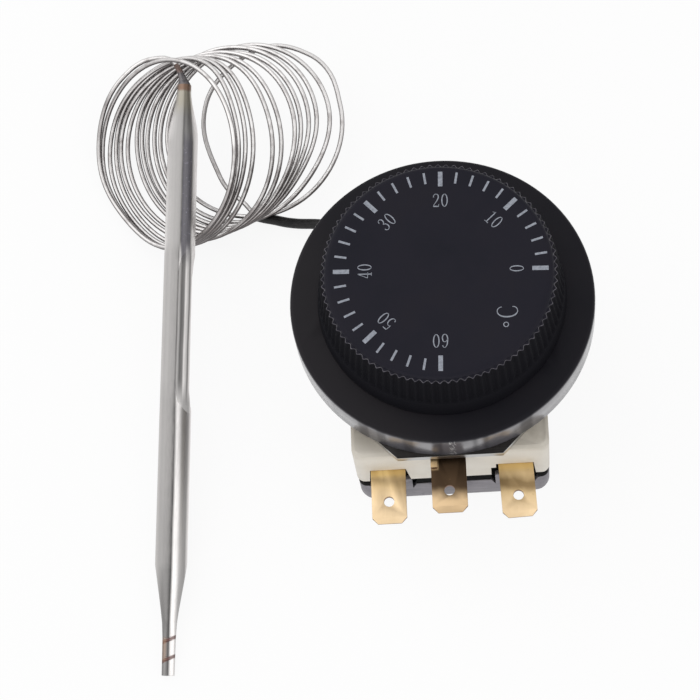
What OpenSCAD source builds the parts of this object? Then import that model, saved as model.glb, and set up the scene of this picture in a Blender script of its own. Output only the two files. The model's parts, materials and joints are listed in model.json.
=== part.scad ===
// Capillary thermostat with a 0 to 60 degree dial, a bezel, three blade terminals and a remote bulb.
// The origin is on the shaft axis, at the underside of the back cover. +Z runs along the shaft to
// the dial, and the terminals point along -Y. The capillary and the bulb lie on the same surface.

/* [Body] */
// Width of the body, side to side
body_w = 35.4; // [34.6:0.2:37]
// Length of the body, terminal wall to rear wall
body_l = 44.6; // [43.6:0.2:48]
// Distance from the shaft axis to the terminal wall
front_reach = 26.3; // [26:0.1:27]
// Radius of the body's upright corners
corner_r = 1.5; // [0.6:0.1:2.5]
// Height of the ceramic housing
ceramic_h = 14.3; // [14.1:0.1:16]
// Wall of the ceramic housing
ceramic_wall = 2.5; // [2.2:0.1:2.6]
// Roof of the ceramic housing, under the bracket
ceramic_roof = 3.0; // [2.8:0.1:3.2]
// Soft top edge of the ceramic housing
ceramic_edge = 0.5; // [0.2:0.1:0.8]
// Thickness of the insulating plate
insulator_t = 3.1; // [2.6:0.1:4]
// Height of the pressed steel back cover
cover_h = 9.0; // [8.6:0.1:12]
// Sheet thickness of the back cover
cover_t = 0.8; // [0.6:0.1:1]
// Radius of the back cover's pressed bottom edge
cover_edge_r = 2.2; // [1.2:0.1:3]
// Radius of the back cover's upright corners
cover_corner_r = 2.6; // [1.5:0.1:3.5]

/* [Bracket and bezel] */
// Sheet thickness of the eight-sided bracket
bracket_t = 1.5; // [1:0.1:2]
// How far the bracket's front and rear edges stand out past the bezel
bracket_lip = 0.2; // [0:0.1:1]
// How far the bracket stands out past the body on each side
bracket_overhang = 0.7; // [0.3:0.1:1.5]
// Length of the bracket's corner cuts along each side
bracket_cut = 9.0; // [7:0.2:11]
// Radius of the bezel
bezel_r = 27.4; // [27:0.1:30]
// Height of the bezel
bezel_h = 6.7; // [6.5:0.1:8]
// Wall of the bezel
bezel_wall = 2.2; // [1.6:0.1:2.4]
// Radius of the bezel's top edge
bezel_edge_r = 0.8; // [0.3:0.1:1.4]
// Radius of the well round the shaft in the bezel
bezel_well_r = 10.4; // [10.2:0.1:10.6]
// Distance between the two fixing screws
screw_spacing = 28; // [27.6:0.2:28.6]
// Radius of the fixing screws' thread
screw_r = 2.0; // [1.6:0.1:2]
// Radius of the tie rivets' shank
rivet_r = 1.5; // [1.2:0.1:1.6]

/* [Knob] */
// Height of the knob
knob_h = 12.7; // [12:0.1:15]
// Radius of the knob's fluted rim, over the ridges
knob_rim_r = 20.8; // [19.6:0.1:22]
// Radius of the knob at its base
knob_base_r = 22.3; // [22.1:0.1:24]
// Number of ridges round the knob
ridge_count = 90; // [60:2:100]
// Depth of the flutes between the ridges
flute_depth = 0.5; // [0.3:0.05:0.7]
// Height of the fluted part of the skirt
flute_h = 7.6; // [6:0.1:8.4]
// Height of the dial face above the fluted rim
dial_rise = 1.0; // [0.6:0.1:1.4]
// Wall of the knob's skirt and face
knob_wall = 2.4; // [1.8:0.1:2.8]
// Gap between the knob and the bezel
knob_gap = 0.2; // [0.15:0.05:0.6]

/* [Shaft and switch] */
// Radius of the shaft
shaft_r = 3.0; // [2.9:0.05:3.1]
// Depth of the flat on the shaft
flat_depth = 1.5; // [1:0.1:1.6]
// Radius of the shaft's threaded foot
foot_r = 2.5; // [2.2:0.1:2.6]
// Running clearance between round pieces that turn or slide
run_gap = 0.05; // [0.03:0.01:0.08]
// Thickness of the snap blade
blade_t = 0.3; // [0.2:0.05:0.35]
// Width of the snap blade
blade_w = 8.0; // [7.4:0.2:8.6]
// Gap between the open contacts
contact_gap = 0.6; // [0.5:0.05:0.7]
// Radius of the contact rivets' heads
contact_r = 1.9; // [1.5:0.1:2]
// Radius of the push pin
pin_r = 1.5; // [1.2:0.1:1.8]
// Radius of the diaphragm capsule
capsule_r = 14.0; // [13:0.2:14.4]

/* [Terminals] */
// Width of the blade terminals
tab_w = 6.3; // [6.2:0.1:6.4]
// Thickness of the terminals
tab_t = 0.8; // [0.75:0.05:0.85]
// Free length of the two outer terminals
tab_reach = 10.1; // [9:0.1:12]
// Free length of the centre terminal
centre_tab_reach = 10.8; // [9:0.1:12]
// Distance of the left terminal from the shaft axis
left_tab_x = 11.7; // [11.6:0.1:11.8]
// Distance of the right terminal from the shaft axis
right_tab_x = 11.5; // [11.4:0.1:11.6]
// Offset of the centre terminal from the shaft axis
centre_tab_x = -0.5; // [-0.7:0.1:-0.2]
// Lean of the right terminal, bent a little in handling, in degrees
right_tab_lean = 2; // [0:0.5:3]
// Radius of the hole in each terminal
tab_hole_r = 0.95; // [0.8:0.05:1.1]
// Distance from the terminal's tip to its hole
tab_hole_back = 4.1; // [3.6:0.1:4.6]
// Height of the outer terminals' top face above the ceramic's foot
outer_tab_rise = 5.8; // [5.6:0.1:6]
// Depth of the centre terminal's top face below the bracket
centre_tab_drop = 1.5; // [1.2:0.1:1.8]

/* [Capillary and bulb] */
// Radius of the capillary
capillary_r = 0.45; // [0.4:0.05:0.6]
// Radius of the black sleeve
sleeve_r = 1.0; // [0.8:0.05:1.2]
// Radius of the sensing bulb
bulb_r = 3.0; // [2.8:0.1:3.4]
// Length of the sensing bulb with its crimped tail
bulb_l = 114; // [110:1:125]
// Length of the bulb's crimped tail
crimp_l = 9.0; // [7:0.5:12]
// Thickness of the crimped tail
crimp_t = 1.6; // [1.4:0.1:2]
// Width of the crimped tail
crimp_w = 2.5; // [2.2:0.1:3]

/* [Hidden] */

$fn = 64;
eps = 0.01;
// small clearance between fixed pieces, and the length by which a cutter runs past a face
fit = 0.1;
over = 1;

body_mid_y = body_l / 2 - front_reach;
rear_y = body_l - front_reach;

insulator_z = cover_h;
ceramic_z = insulator_z + insulator_t;
chamber_top = ceramic_z + ceramic_h - ceramic_roof;
bracket_z = ceramic_z + ceramic_h;
bezel_z = bracket_z + bracket_t;
bracket_reach = bezel_r + bracket_lip;
bracket_half_w = body_w / 2 + bracket_overhang;
bezel_top = bezel_z + bezel_h;
knob_z = bezel_top + knob_gap;
dial_z = knob_z + knob_h;
rim_z = dial_z - dial_rise;
flute_z = rim_z - flute_h;

// height of the top of the outer terminals, and of the centre one, which comes out under the bracket
outer_tab_z = ceramic_z + outer_tab_rise;
centre_tab_z = bracket_z - centre_tab_drop;

// tie rivets: two between the terminals and two in the rear corners
tie_front_x = 6.0;
tie_front_inset = 5.3;
tie_side_inset = 5.5;
tie_rear_inset = 5.2;
tie_front_y = tie_front_inset - front_reach;
tie_rear_x = body_w / 2 - tie_side_inset;
tie_rear_y = rear_y - tie_rear_inset;
tie_places = [[-tie_front_x, tie_front_y], [tie_front_x, tie_front_y],
              [-tie_rear_x, tie_rear_y], [tie_rear_x, tie_rear_y]];
column_wall = 0.85;
column_r = rivet_r + column_wall;
tie_head_r = 2.7;
tie_head_h = 1.0;
dimple_h = tie_head_h + fit;

// where the strips of the terminals are riveted to the ceramic
strip_inset = 8.3;
strip_rivet_y = strip_inset - front_reach;
strip_rivet_r = 1.2;
strip_head_r = 2.1;
strip_head_h = 0.7;

// switch levels, from the centre strip down
contact_y = 7.5;
blade_gap = 0.12;
strip_w = 5.0;
strip_rise = 5.2;
strip_z = ceramic_z + strip_rise;
blade_top = strip_z - blade_gap;
blade_z = blade_top - blade_t;
contact_h = 0.75;
contact_foot_r = 1.4;
contact_foot_h = 0.4;
lower_contact_top = blade_z - contact_h - run_gap;
upper_contact_foot = blade_top + contact_h + contact_gap;
lower_arm_z = lower_contact_top - contact_h - tab_t;
upper_arm_z = upper_contact_foot + contact_h;

// shaft levels
flange_t = 1.3;
collar_top = bracket_z - flange_t;
collar_h = 1.2;
collar_r = 4.0;
bush_flange_r = 6.0;
bush_r = 4.6;
bush_rise = 3.0;
bush_step = 0.6;
bush_shoulder = 0.5;
bush_top = bezel_z + bush_rise;
play = 0.15;
clip_z = bush_top + play;
clip_t = 0.6;
groove_depth = 0.6;
circlip_w = 1.9;
circlip_mouth = 3.2;
washer_z = clip_z + clip_t + play;
washer_r = 5.2;
washer_t = 1.2;
hub_z = washer_z + washer_t + 2 * play;
hub_top = dial_z - knob_wall - 4 * play;
shaft_top = hub_top - 2 * play;
shaft_chamfer = 0.5;
nut_drop = 0.8;
nut_top = chamber_top - nut_drop;
nut_h = 4.2;
nut_z = nut_top - nut_h;
foot_l = 2.4;
foot_chamfer = 0.4;
foot_z = nut_top - foot_l;
nut_l = 14.0;
nut_w = 7.0;
nut_step_l = 2.5;
nut_step_h = 1.6;
nut_rib_l = 2.6;
nut_rib_t = 1.2;
nut_rib_x = nut_l / 2 - nut_rib_l / 4;
nut_rib_gap = 0.2;
calibration_r = 1.5;
calibration_tip_r = 0.7;
calibration_slot = 0.5;

// stop finger on the shaft, and the lug on the bracket that it meets at each end of 270 degrees
finger_angle = 90;
finger_w = 2.6;
finger_reach = 9.4;
lug_angle = finger_angle + 135;
lug_in = 7.4;
lug_half_w = 5.3;

// diaphragm capsule and push pin
capsule_z = cover_t;
capsule_h = 4.8;
capsule_rim_z = capsule_z + 2.6;
capsule_top = capsule_z + capsule_h;
capsule_flat_r = 3.4;
capsule_seam = 1;
capsule_seam_t = 1;
wave_l = 3;
pin_foot = capsule_top + run_gap;
pin_top = blade_z - run_gap;
pin_chamfer = 0.3;
pin_tip_r = 0.8;
pin_tip_l = 1.3;
pin_neck_l = 0.5;
pin_boss_h = 1.8;
pin_boss_wall = 1.6;

// sleeve route: out of the rear wall, round behind the body and down to the surface
sleeve_exit_x = -10;
sleeve_exit_z = 4.6;
sleeve_route = [[-10, 17.2, 4.6], [-10, 19, 4.6], [-10.3, 21.6, 4.5], [-11.6, 24.4, 4.3],
                [-14.2, 26.8, 4.0], [-17.6, 28.4, 3.7], [-21.2, 29.4, 3.4], [-25, 30.1, 3.0],
                [-28, 30.7, 2.2], [-30.5, 31.4, 1.6], [-33, 32.3, 1.2], [-35.3, 33, 1.0],
                [-36.4, 33.4, 1.0]];
stub_route = [[-7.6, 7.9, 3.4], [-8.9, 10.6, 3.7], [-9.6, 13, 4.2], [-10, 15.2, 4.5], [-10, 17.2, 4.6]];

// the last stretch of the capillary, from the coil into the bulb's weld
tail_route = [[-51.6, 60, 20], [-50.3, 59.9, 19.6], [-49.2, 59.3, 19.1], [-48.4, 58.3, 18.6],
              [-48.2, 57.2, 18.2]];

// the coil is a fan of turns: the first stands up most and the last lies nearly flat
coil_pitch = 21;
coil_first = [-53, 42.6];
coil_step = [17.5, 6.5];
coil_lean = [38, 5];
coil_r = [18.1, 16.9];
coil_lift = 0.9;

// bulb: its tail rests on the surface and its neck on the first turn of the coil
bulb_tail = [-54.6, -58.1];
bulb_turn = 3.2;
bulb_rise = 8.5;
throat_l = 0.8;
throat_r = 1.4;
swell_l = 3.5;
swell_r = 1.75;
taper_end = 20.5;
neck_l = 10.2;
neck_end = 0.8;
neck_start = bulb_l - neck_l - neck_end;
neck_r = 1.35;
weld_l = 4.0;
weld_mid_l = 2.4;
weld_mid_r = 0.75;

// notches in the cover's rim under the outer terminals, and the lugs that stand in them
notch_x = 11.2;
notch_mouth = 4.3;
notch_foot = 3.6;
notch_depth = 2.2;
notch_z = cover_h - notch_depth;
lug_x = 7.65;
lug_w = 3.4;
lug_root = 0.5;
lug_top = ceramic_z - 2 * fit;
spigot_h = 1.0;
spigot_gap = 0.15;
tongue_t = 1.2;
dimple_room = 0.3;
dimple_r = tie_head_r + dimple_room;
sleeve_slot_r = sleeve_r + 0.1;

// terminals
tip_l = 1.1;
tip_w = 1.0;
tip_bevel = 1.2;
tip_slope = 12;
tab_root = 0.4;
step_back = 4.2;
step_y = strip_rivet_y + step_back;
strip_sink = strip_head_h + 0.3;
strip_end = 2.6;
arm_past = 0.3;
// ear turned up on the centre terminal, beside the wall
ear_w = 1.2;
ear_l = 2.0;
ear_h = 0.9;
ear_out = 2.6;
// windows of the outer terminals, and the step beside the right one
window_splay = 0.5;
window_splay_in = 0.8;
window_gap_in = 0.4;
step_w = 1.35;
step_l = 2.0;
step_h = 3.9;
bend_gap = 0.1;
block_set = 1.2;
block_margin = 0.2;
strip_places = [[-left_tab_x, outer_tab_z - tab_t], [centre_tab_x, strip_z - blade_t - 2 * blade_gap],
                [right_tab_x, outer_tab_z - tab_t]];
contact_shank_r = 0.8;

// snap blade: foot under the centre strip, frame, and the cut that frees its tongue
blade_foot_w = 4.8;
blade_foot_l = 2.4;
blade_waist = 2.0;
blade_flare = 4.0;
blade_yoke = 3.0;
blade_hole_gap = 0.25;
tongue_x = 2.2;
tongue_slot = 0.6;
tongue_start = 6.4;
tongue_l = 14.0;

// fixing screws, hub and adjusting nut
screw_head_r = screw_r + 1.8;
screw_head_h = 2.2;
screw_top = bezel_top - 0.2;
screw_past = 0.5;
screw_pocket = 0.9;
screw_pocket_gap = 0.5;
boss_wall = 0.6;
cross_w = 0.8;
cross_depth = 0.9;
hub_r = 6.5;
hub_rib_t = 1.2;
hub_rib_rise = 2.0;
skirt_chamfer = 0.3;
skirt_step = 0.15;
brow_set = 0.1;
// leaf spring between the shaft's flat and the hub
clip_room = 0.6;
clip_rise = 1.5;
clip_w = 4.0;
clip_l = 8.8;
leaf_t = 0.3;
leaf_bow = 0.25;
nut_floor = 1.5;
calibration_out = 0.4;

// flat pressed into the bulb's side, facing right and a little up
dent_turn = 22;
dent_at = 1.3;
dent_start = 49;
dent_l = 32;
dent_ramp = 5;
dent_edge = 2;
dent_round = 0.5;
// the drawn tube narrows by this much from the flat to the neck
press_loss = 0.1;

// slanted press marks across the crimp
mark_places = [3.1, 6.6];
mark_r = 0.45;
mark_out = 0.25;
mark_slant = 12;
crimp_overlap = 2.2;

// how far the coil's solid stands out past the turns' centrelines, and how far its hollow is cut
coil_skin = 0.6;
coil_hollow = 0.9;
coil_cut = 3;
coil_floor = 200;

// outline of the body, drawn in by inset, with true round corners
module body_outline(inset, r) {
    w = body_w - 2 * inset;
    l = body_l - 2 * inset;
    translate([0, body_mid_y]) {
        square([w - 2 * r, l], center = true);
        square([w, l - 2 * r], center = true);
        for (sx = [-1, 1], sy = [-1, 1])
            translate([sx * (w / 2 - r), sy * (l / 2 - r)]) circle(r);
    }
}

// trapezoid seen from the front, for windows and notches in the terminal wall
module wall_cut(bottom_left, bottom_right, top_left, top_right, z0, z1, y0, y1) {
    translate([0, y1, 0]) rotate([90, 0, 0]) linear_extrude(y1 - y0)
        polygon([[bottom_left, z0], [bottom_right, z0], [top_right, z1], [top_left, z1]]);
}

// what belongs at each of the four tie rivets
module at_ties(z) {
    for (p = tie_places) translate([p[0], p[1], z]) children();
}

// a rivet: shank and two heads
module rivet(r, head_r, head_h, z0, z1) {
    translate([0, 0, z0 - eps]) cylinder(r = r, h = z1 - z0 + 2 * eps);
    translate([0, 0, z0 - head_h]) cylinder(r = head_r, h = head_h);
    translate([0, 0, z1]) cylinder(r = head_r, h = head_h);
}

// round tube swept along points: one ring of corners at each, square to the path
function unit(v) = v / norm(v);
function heading(p, i) = unit(p[min(i + 1, len(p) - 1)] - p[max(i - 1, 0)]);
function side_of(h) = unit(cross(h, [0, 0, 1]));
function ring(c, h, r, sides) =
    [for (k = [0 : sides - 1])
        let (a = 360 * k / sides, u = side_of(h), v = cross(u, h))
        c + r * (cos(a) * u + sin(a) * v)];
module swept_tube(p, r, sides = 8) {
    n = len(p);
    points = [for (i = [0 : n - 1]) each ring(p[i], heading(p, i), r, sides)];
    start = [for (k = [0 : sides - 1]) k];
    finish = [for (k = [sides - 1 : -1 : 0]) (n - 1) * sides + k];
    walls = [for (i = [0 : n - 2], k = [0 : sides - 1])
        let (a = i * sides + k, b = i * sides + (k + 1) % sides)
        each [[a, a + sides, b + sides], [a, b + sides, b]]];
    polyhedron(points, concat([start], [finish], walls));
}

// shell of the tray: sheet with a pressed bottom edge
module tray_block(inset, z0, z1) {
    steps = 4;
    r = max(cover_edge_r - inset, 0.4);
    hull() {
        for (k = [0 : steps]) {
            rise = r * (1 - sin(90 * k / steps));
            draw_in = r * (1 - cos(90 * k / steps));
            translate([0, 0, z0 + rise]) linear_extrude(z1 - z0 - rise)
                body_outline(inset + draw_in, max(cover_corner_r - inset - draw_in, 0.4), $fn = 32);
        }
    }
}

module back_cover() {
    color("slategray") difference() {
        union() {
            difference() {
                tray_block(0, 0, cover_h);
                tray_block(cover_t, cover_t, cover_h + over);
                for (side = [-1, 1]) notch(side);
            }
            at_ties(0) cylinder(r = dimple_r + cover_t, h = dimple_h + cover_t);
            for (side = [-1, 1]) lug(side);
        }
        at_ties(-eps) cylinder(r = dimple_r, h = dimple_h + eps);
        at_ties(0) cylinder(r = rivet_r + fit, h = cover_h);
        // slot in the rear wall for the sleeve
        translate([sleeve_exit_x - sleeve_slot_r, rear_y - 2 * cover_t, sleeve_exit_z])
            cube([2 * sleeve_slot_r, 3 * cover_t, cover_h]);
        translate([sleeve_exit_x, rear_y + cover_t, sleeve_exit_z]) rotate([90, 0, 0])
            cylinder(r = sleeve_slot_r, h = 3 * cover_t);
    }
}

// notch in the cover's rim below an outer terminal, wider at its mouth
module notch(side) {
    wall_cut(side * notch_x - notch_foot, side * notch_x + notch_foot, side * notch_x - notch_mouth,
             side * notch_x + notch_mouth, notch_z, cover_h + eps, -front_reach - over,
             -front_reach + tongue_t);
}

// tongue of the cover's own sheet that stands up in the notch and holds the insulating plate
module lug(side) {
    translate([side * (lug_x + lug_w / 2) - lug_w / 2, -front_reach, notch_z - lug_root])
        cube([lug_w, cover_t, lug_top - notch_z + lug_root]);
}

// corrugated half of the capsule, as a height above its rim plane
function from_seam(r) = (capsule_r - capsule_seam - r) / wave_l;
function wave_h(r) = 0.6 + 1.1 * min(1, from_seam(r)) + 0.3 * sin(360 * from_seam(r));

module diaphragm_capsule() {
    radii = [for (r = [capsule_flat_r + 0.6 : 0.5 : capsule_r - capsule_seam]) r];
    top = capsule_top - capsule_rim_z;
    foot = capsule_z - capsule_rim_z;
    outline = concat([[0, top], [capsule_flat_r, top]],
                     [for (r = radii) [r, wave_h(r)]],
                     [[capsule_r, capsule_seam_t / 2], [capsule_r, -capsule_seam_t / 2]],
                     [for (k = [len(radii) - 1 : -1 : 0]) [radii[k], -wave_h(radii[k])]],
                     [[capsule_flat_r, foot], [0, foot]]);
    color("gainsboro") translate([0, body_mid_y, capsule_rim_z]) rotate_extrude() polygon(outline);
}

module capillary_stub() {
    color("silver") swept_tube(stub_route, capillary_r);
}

module insulator() {
    color([0.07, 0.07, 0.07]) difference() {
        union() {
            translate([0, 0, insulator_z]) linear_extrude(insulator_t) body_outline(spigot_gap, corner_r);
            // spigot that drops into the cover, and its tongues behind the two notches
            translate([0, 0, insulator_z - spigot_h]) linear_extrude(spigot_h + eps)
                body_outline(cover_t + spigot_gap, corner_r);
            for (side = [-1, 1])
                translate([side * notch_x - notch_foot, -front_reach + cover_t + spigot_gap, notch_z])
                    cube([2 * notch_foot, tongue_t, insulator_z - notch_z]);
            translate([0, body_mid_y, ceramic_z - eps])
                cylinder(r = pin_r + pin_boss_wall, h = pin_boss_h + eps);
        }
        // recesses that clear the cover's lugs
        for (side = [-1, 1])
            translate([side * notch_x - notch_mouth, -front_reach - over, insulator_z - spigot_h - over])
                cube([2 * notch_mouth, over + cover_t + spigot_gap, insulator_t + spigot_h + 2 * over]);
        translate([0, body_mid_y, insulator_z - spigot_h - over])
            cylinder(r = pin_r + run_gap, h = insulator_t + spigot_h + pin_boss_h + 2 * over);
        at_ties(insulator_z - spigot_h - over)
            cylinder(r = rivet_r + fit, h = insulator_t + spigot_h + 2 * over);
    }
}

module ceramic_housing() {
    color("cornsilk") difference() {
        union() {
            difference() {
                ceramic_block();
                translate([0, 0, ceramic_z - eps]) linear_extrude(chamber_top - ceramic_z + eps)
                    body_outline(ceramic_wall, corner_r);
            }
            at_ties(ceramic_z) cylinder(r = column_r, h = chamber_top - ceramic_z + eps);
            strip_block(-left_tab_x, outer_tab_z);
            strip_block(right_tab_x, outer_tab_z);
            strip_block(centre_tab_x, strip_z + tab_t);
            // four ribs that stop the adjusting nut from turning
            for (sx = [-1, 1], sy = [-1, 1])
                translate([sx * nut_rib_x, sy * (nut_w + nut_rib_t + 2 * fit) / 2, nut_z + nut_rib_gap])
                    translate([-nut_rib_l / 2, -nut_rib_t / 2, 0])
                        cube([nut_rib_l, nut_rib_t, chamber_top - nut_z - nut_rib_gap + eps]);
        }
        at_ties(ceramic_z - over) cylinder(r = rivet_r + fit, h = ceramic_h + 2 * over);
        translate([0, 0, chamber_top - over])
            cylinder(r = bush_flange_r + fit, h = ceramic_roof + 2 * over);
        for (side = [-1, 1]) translate([side * screw_spacing / 2, 0, bracket_z - screw_pocket])
            cylinder(r = screw_r + screw_pocket_gap, h = screw_pocket + over);
        for (p = strip_places) translate([p[0], strip_rivet_y, ceramic_z]) {
            cylinder(r = strip_rivet_r + fit, h = ceramic_h + over);
            translate([0, 0, ceramic_h - strip_sink])
                cylinder(r = strip_head_r + fit, h = strip_sink + over);
        }
        // windows for the outer terminals, open at the bottom edge and splayed towards the middle
        window(-left_tab_x, fit, window_splay, window_splay_in);
        window(right_tab_x, window_gap_in, window_splay, window_splay);
        translate([right_tab_x - tab_w / 2 - step_w, -front_reach - over, ceramic_z - eps])
            cube([step_l, ceramic_wall + 2 * over, step_h]);
        // slot and roof pocket of the centre terminal
        translate([centre_tab_x - tab_w / 2 - fit, -front_reach - over, centre_tab_z - tab_t - fit])
            cube([tab_w + 2 * fit, ceramic_wall + over, tab_t + 2 * fit]);
        translate([centre_tab_x - tab_w / 2 - fit, -front_reach + ceramic_wall - eps, chamber_top - over])
            cube([tab_w + 2 * fit, block_set, centre_tab_z + fit - chamber_top + over]);
    }
}

module ceramic_block() {
    translate([0, 0, ceramic_z]) linear_extrude(ceramic_h - ceramic_edge) body_outline(0, corner_r);
    hull() {
        translate([0, 0, bracket_z - ceramic_edge - eps]) linear_extrude(eps)
            body_outline(0, corner_r, $fn = 32);
        translate([0, 0, bracket_z - eps]) linear_extrude(eps)
            body_outline(ceramic_edge, corner_r, $fn = 32);
    }
}

// block of ceramic above a terminal's strip, which is riveted to it
module strip_block(x, z) {
    start = -front_reach + ceramic_wall + block_set;
    translate([x - strip_w / 2 - block_margin, start, z])
        cube([strip_w + 2 * block_margin, strip_rivet_y + strip_end + fit - start,
              chamber_top - z + eps]);
}

// window round an outer terminal at x: the gap on its left, and how far each foot is splayed out
module window(x, gap_left, splay_left, splay_right) {
    wall_cut(x - tab_w / 2 - splay_left, x + tab_w / 2 + splay_right, x - tab_w / 2 - gap_left,
             x + tab_w / 2 + fit, ceramic_z - eps, outer_tab_z + fit, -front_reach - over,
             -front_reach + ceramic_wall + eps);
}

module tie_rivets() {
    color("silver") at_ties(0) rivet(rivet_r, tie_head_r, tie_head_h, dimple_h, bezel_z);
}

// flat blade with cut corners, a bevelled tip and a hole; its top face is at z = 0
module tab(reach, root) {
    difference() {
        translate([0, 0, -tab_t]) linear_extrude(tab_t) difference() {
            polygon([[-tab_w / 2, root], [-tab_w / 2, -reach + tip_l], [-tab_w / 2 + tip_w, -reach],
                     [tab_w / 2 - tip_w, -reach], [tab_w / 2, -reach + tip_l], [tab_w / 2, root]]);
            translate([0, -reach + tab_hole_back]) circle(tab_hole_r);
        }
        translate([0, -reach + tip_bevel, 0]) rotate([tip_slope, 0, 0])
            translate([-tab_w, -3 * tip_bevel, 0]) cube([2 * tab_w, 3 * tip_bevel, over]);
        translate([0, -reach + tip_bevel, -tab_t]) rotate([-tip_slope, 0, 0])
            translate([-tab_w, -3 * tip_bevel, -over]) cube([2 * tab_w, 3 * tip_bevel, over]);
    }
}

// strip of sheet from y0 to y1 with its underside at z
module strip(x, y0, y1, z, w = strip_w) {
    translate([x - w / 2, y0, z]) cube([w, y1 - y0, tab_t]);
}

// upright part of a strip, between two levels
module riser(x, y, z0, z1) {
    translate([x - strip_w / 2, y, z0]) cube([strip_w, tab_t, z1 - z0]);
}

// an outer terminal: blade, strip, step to the level of its contact, and an arm across to it
module outer_terminal(x, lean, arm_z) {
    low = outer_tab_z - tab_t;
    arm_l = abs(x) + strip_w / 2 + contact_r + arm_past;
    arm_x = x > 0 ? x + strip_w / 2 - arm_l : x - strip_w / 2;
    difference() {
        union() {
            translate([x, -front_reach, outer_tab_z]) rotate([0, 0, lean]) tab(tab_reach, tab_root);
            strip(x, -front_reach, step_y + tab_t, low);
            riser(x, step_y, min(low, arm_z), max(low, arm_z) + tab_t);
            strip(x, step_y, contact_y + strip_w / 2, arm_z);
            translate([arm_x, contact_y - strip_w / 2, arm_z]) cube([arm_l, strip_w, tab_t]);
        }
        translate([x, strip_rivet_y, low - over]) cylinder(r = strip_rivet_r + fit, h = tab_t + 2 * over);
        translate([0, contact_y, arm_z - over]) cylinder(r = contact_shank_r, h = tab_t + 2 * over);
    }
}

module terminal_left() {
    color("goldenrod") outer_terminal(-left_tab_x, 0, upper_arm_z);
}

module terminal_right() {
    color("goldenrod") outer_terminal(right_tab_x, right_tab_lean, lower_arm_z);
}

module terminal_centre() {
    bend_y = -front_reach + ceramic_wall + bend_gap;
    color("goldenrod") difference() {
        union() {
            translate([centre_tab_x, -front_reach, centre_tab_z])
                tab(centre_tab_reach, ceramic_wall + bend_gap);
            strip(centre_tab_x, bend_y - bend_gap, bend_y + tab_t, centre_tab_z - tab_t);
            riser(centre_tab_x, bend_y, strip_z, centre_tab_z);
            strip(centre_tab_x, bend_y, strip_rivet_y + strip_end, strip_z);
            translate([centre_tab_x - tab_w / 2, -front_reach - ear_out, centre_tab_z - eps])
                cube([ear_w, ear_l, ear_h]);
        }
        translate([centre_tab_x, strip_rivet_y, strip_z - over])
            cylinder(r = strip_rivet_r + fit, h = tab_t + 2 * over);
    }
}

module terminal_rivets() {
    color("gold") for (p = strip_places) translate([p[0], strip_rivet_y, 0])
        rivet(strip_rivet_r, strip_head_r, strip_head_h, p[1], bracket_z - strip_sink);
}

// contact rivet with its face at z = face, pointing up or down
module contact_rivet(face, up, plate_z) {
    translate([0, contact_y, up ? face - contact_h : face]) cylinder(r = contact_r, h = contact_h);
    translate([0, contact_y, plate_z - eps]) cylinder(r = contact_shank_r, h = tab_t + 2 * eps);
    translate([0, contact_y, up ? plate_z - contact_foot_h : plate_z + tab_t])
        cylinder(r = contact_foot_r, h = contact_foot_h);
}

module contact_left() {
    color("lightgray") contact_rivet(upper_contact_foot, false, upper_arm_z);
}

module contact_right() {
    color("lightgray") contact_rivet(lower_contact_top, true, lower_arm_z);
}

module bracket() {
    straight = bracket_reach - bracket_cut;
    front = bracket_half_w - bracket_cut;
    color("silver") difference() {
        union() {
            translate([0, 0, bracket_z]) linear_extrude(bracket_t)
                polygon([[-front, -bracket_reach], [front, -bracket_reach], [bracket_half_w, -straight],
                         [bracket_half_w, straight], [front, bracket_reach], [-front, bracket_reach],
                         [-bracket_half_w, straight], [-bracket_half_w, -straight]]);
            // lug that stops the shaft at both ends of the scale
            rotate([0, 0, lug_angle]) translate([lug_in, -lug_half_w, bezel_z - eps])
                cube([bracket_t, 2 * lug_half_w, washer_z + washer_t - bezel_z]);
        }
        translate([0, 0, bracket_z - over]) cylinder(r = bush_r, h = bracket_t + 2 * over);
        for (side = [-1, 1]) translate([side * screw_spacing / 2, 0, bracket_z - over])
            cylinder(r = screw_r, h = bracket_t + 2 * over);
        at_ties(bracket_z - over) cylinder(r = rivet_r + fit, h = bracket_t + 2 * over);
    }
}

module shaft_bush() {
    foot = collar_top + run_gap;
    step_z = bezel_z + bush_step;
    neck = bush_r - bush_shoulder;
    color("gold") rotate_extrude() polygon([
        [shaft_r + run_gap, foot], [bush_flange_r, foot], [bush_flange_r, bracket_z], [bush_r, bracket_z],
        [bush_r, step_z], [neck, step_z], [neck, bush_top], [shaft_r + run_gap, bush_top]]);
}

module bezel() {
    arc = [for (a = [0 : 15 : 90]) [bezel_r - bezel_edge_r + bezel_edge_r * sin(a),
                                    bezel_top - bezel_edge_r + bezel_edge_r * cos(a)]];
    roof = bezel_top - bezel_wall;
    rim = bezel_r - bezel_wall;
    well = bezel_well_r + bezel_wall;
    color([0.06, 0.06, 0.07]) difference() {
        union() {
            rotate_extrude($fn = 96)
                polygon(concat([[bezel_well_r, bezel_z], [bezel_well_r, bezel_top]], arc,
                    [[bezel_r, bezel_z], [rim, bezel_z], [rim, roof], [well, roof], [well, bezel_z]]));
            for (side = [-1, 1]) translate([side * screw_spacing / 2, 0, bezel_z])
                cylinder(r = screw_head_r + boss_wall, h = bezel_h - eps);
        }
        translate([0, 0, bezel_z - over]) cylinder(r = bezel_well_r, h = bezel_h + 2 * over);
        for (side = [-1, 1]) translate([side * screw_spacing / 2, 0, 0]) {
            translate([0, 0, bezel_z - over]) cylinder(r = screw_r + fit, h = bezel_h + 2 * over);
            translate([0, 0, screw_top - screw_head_h]) rotate_extrude()
                polygon([[0, 0], [screw_r + fit, 0], [screw_head_r + fit, screw_head_h],
                         [screw_head_r + fit, screw_head_h + over], [0, screw_head_h + over]]);
        }
    }
}

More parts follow.
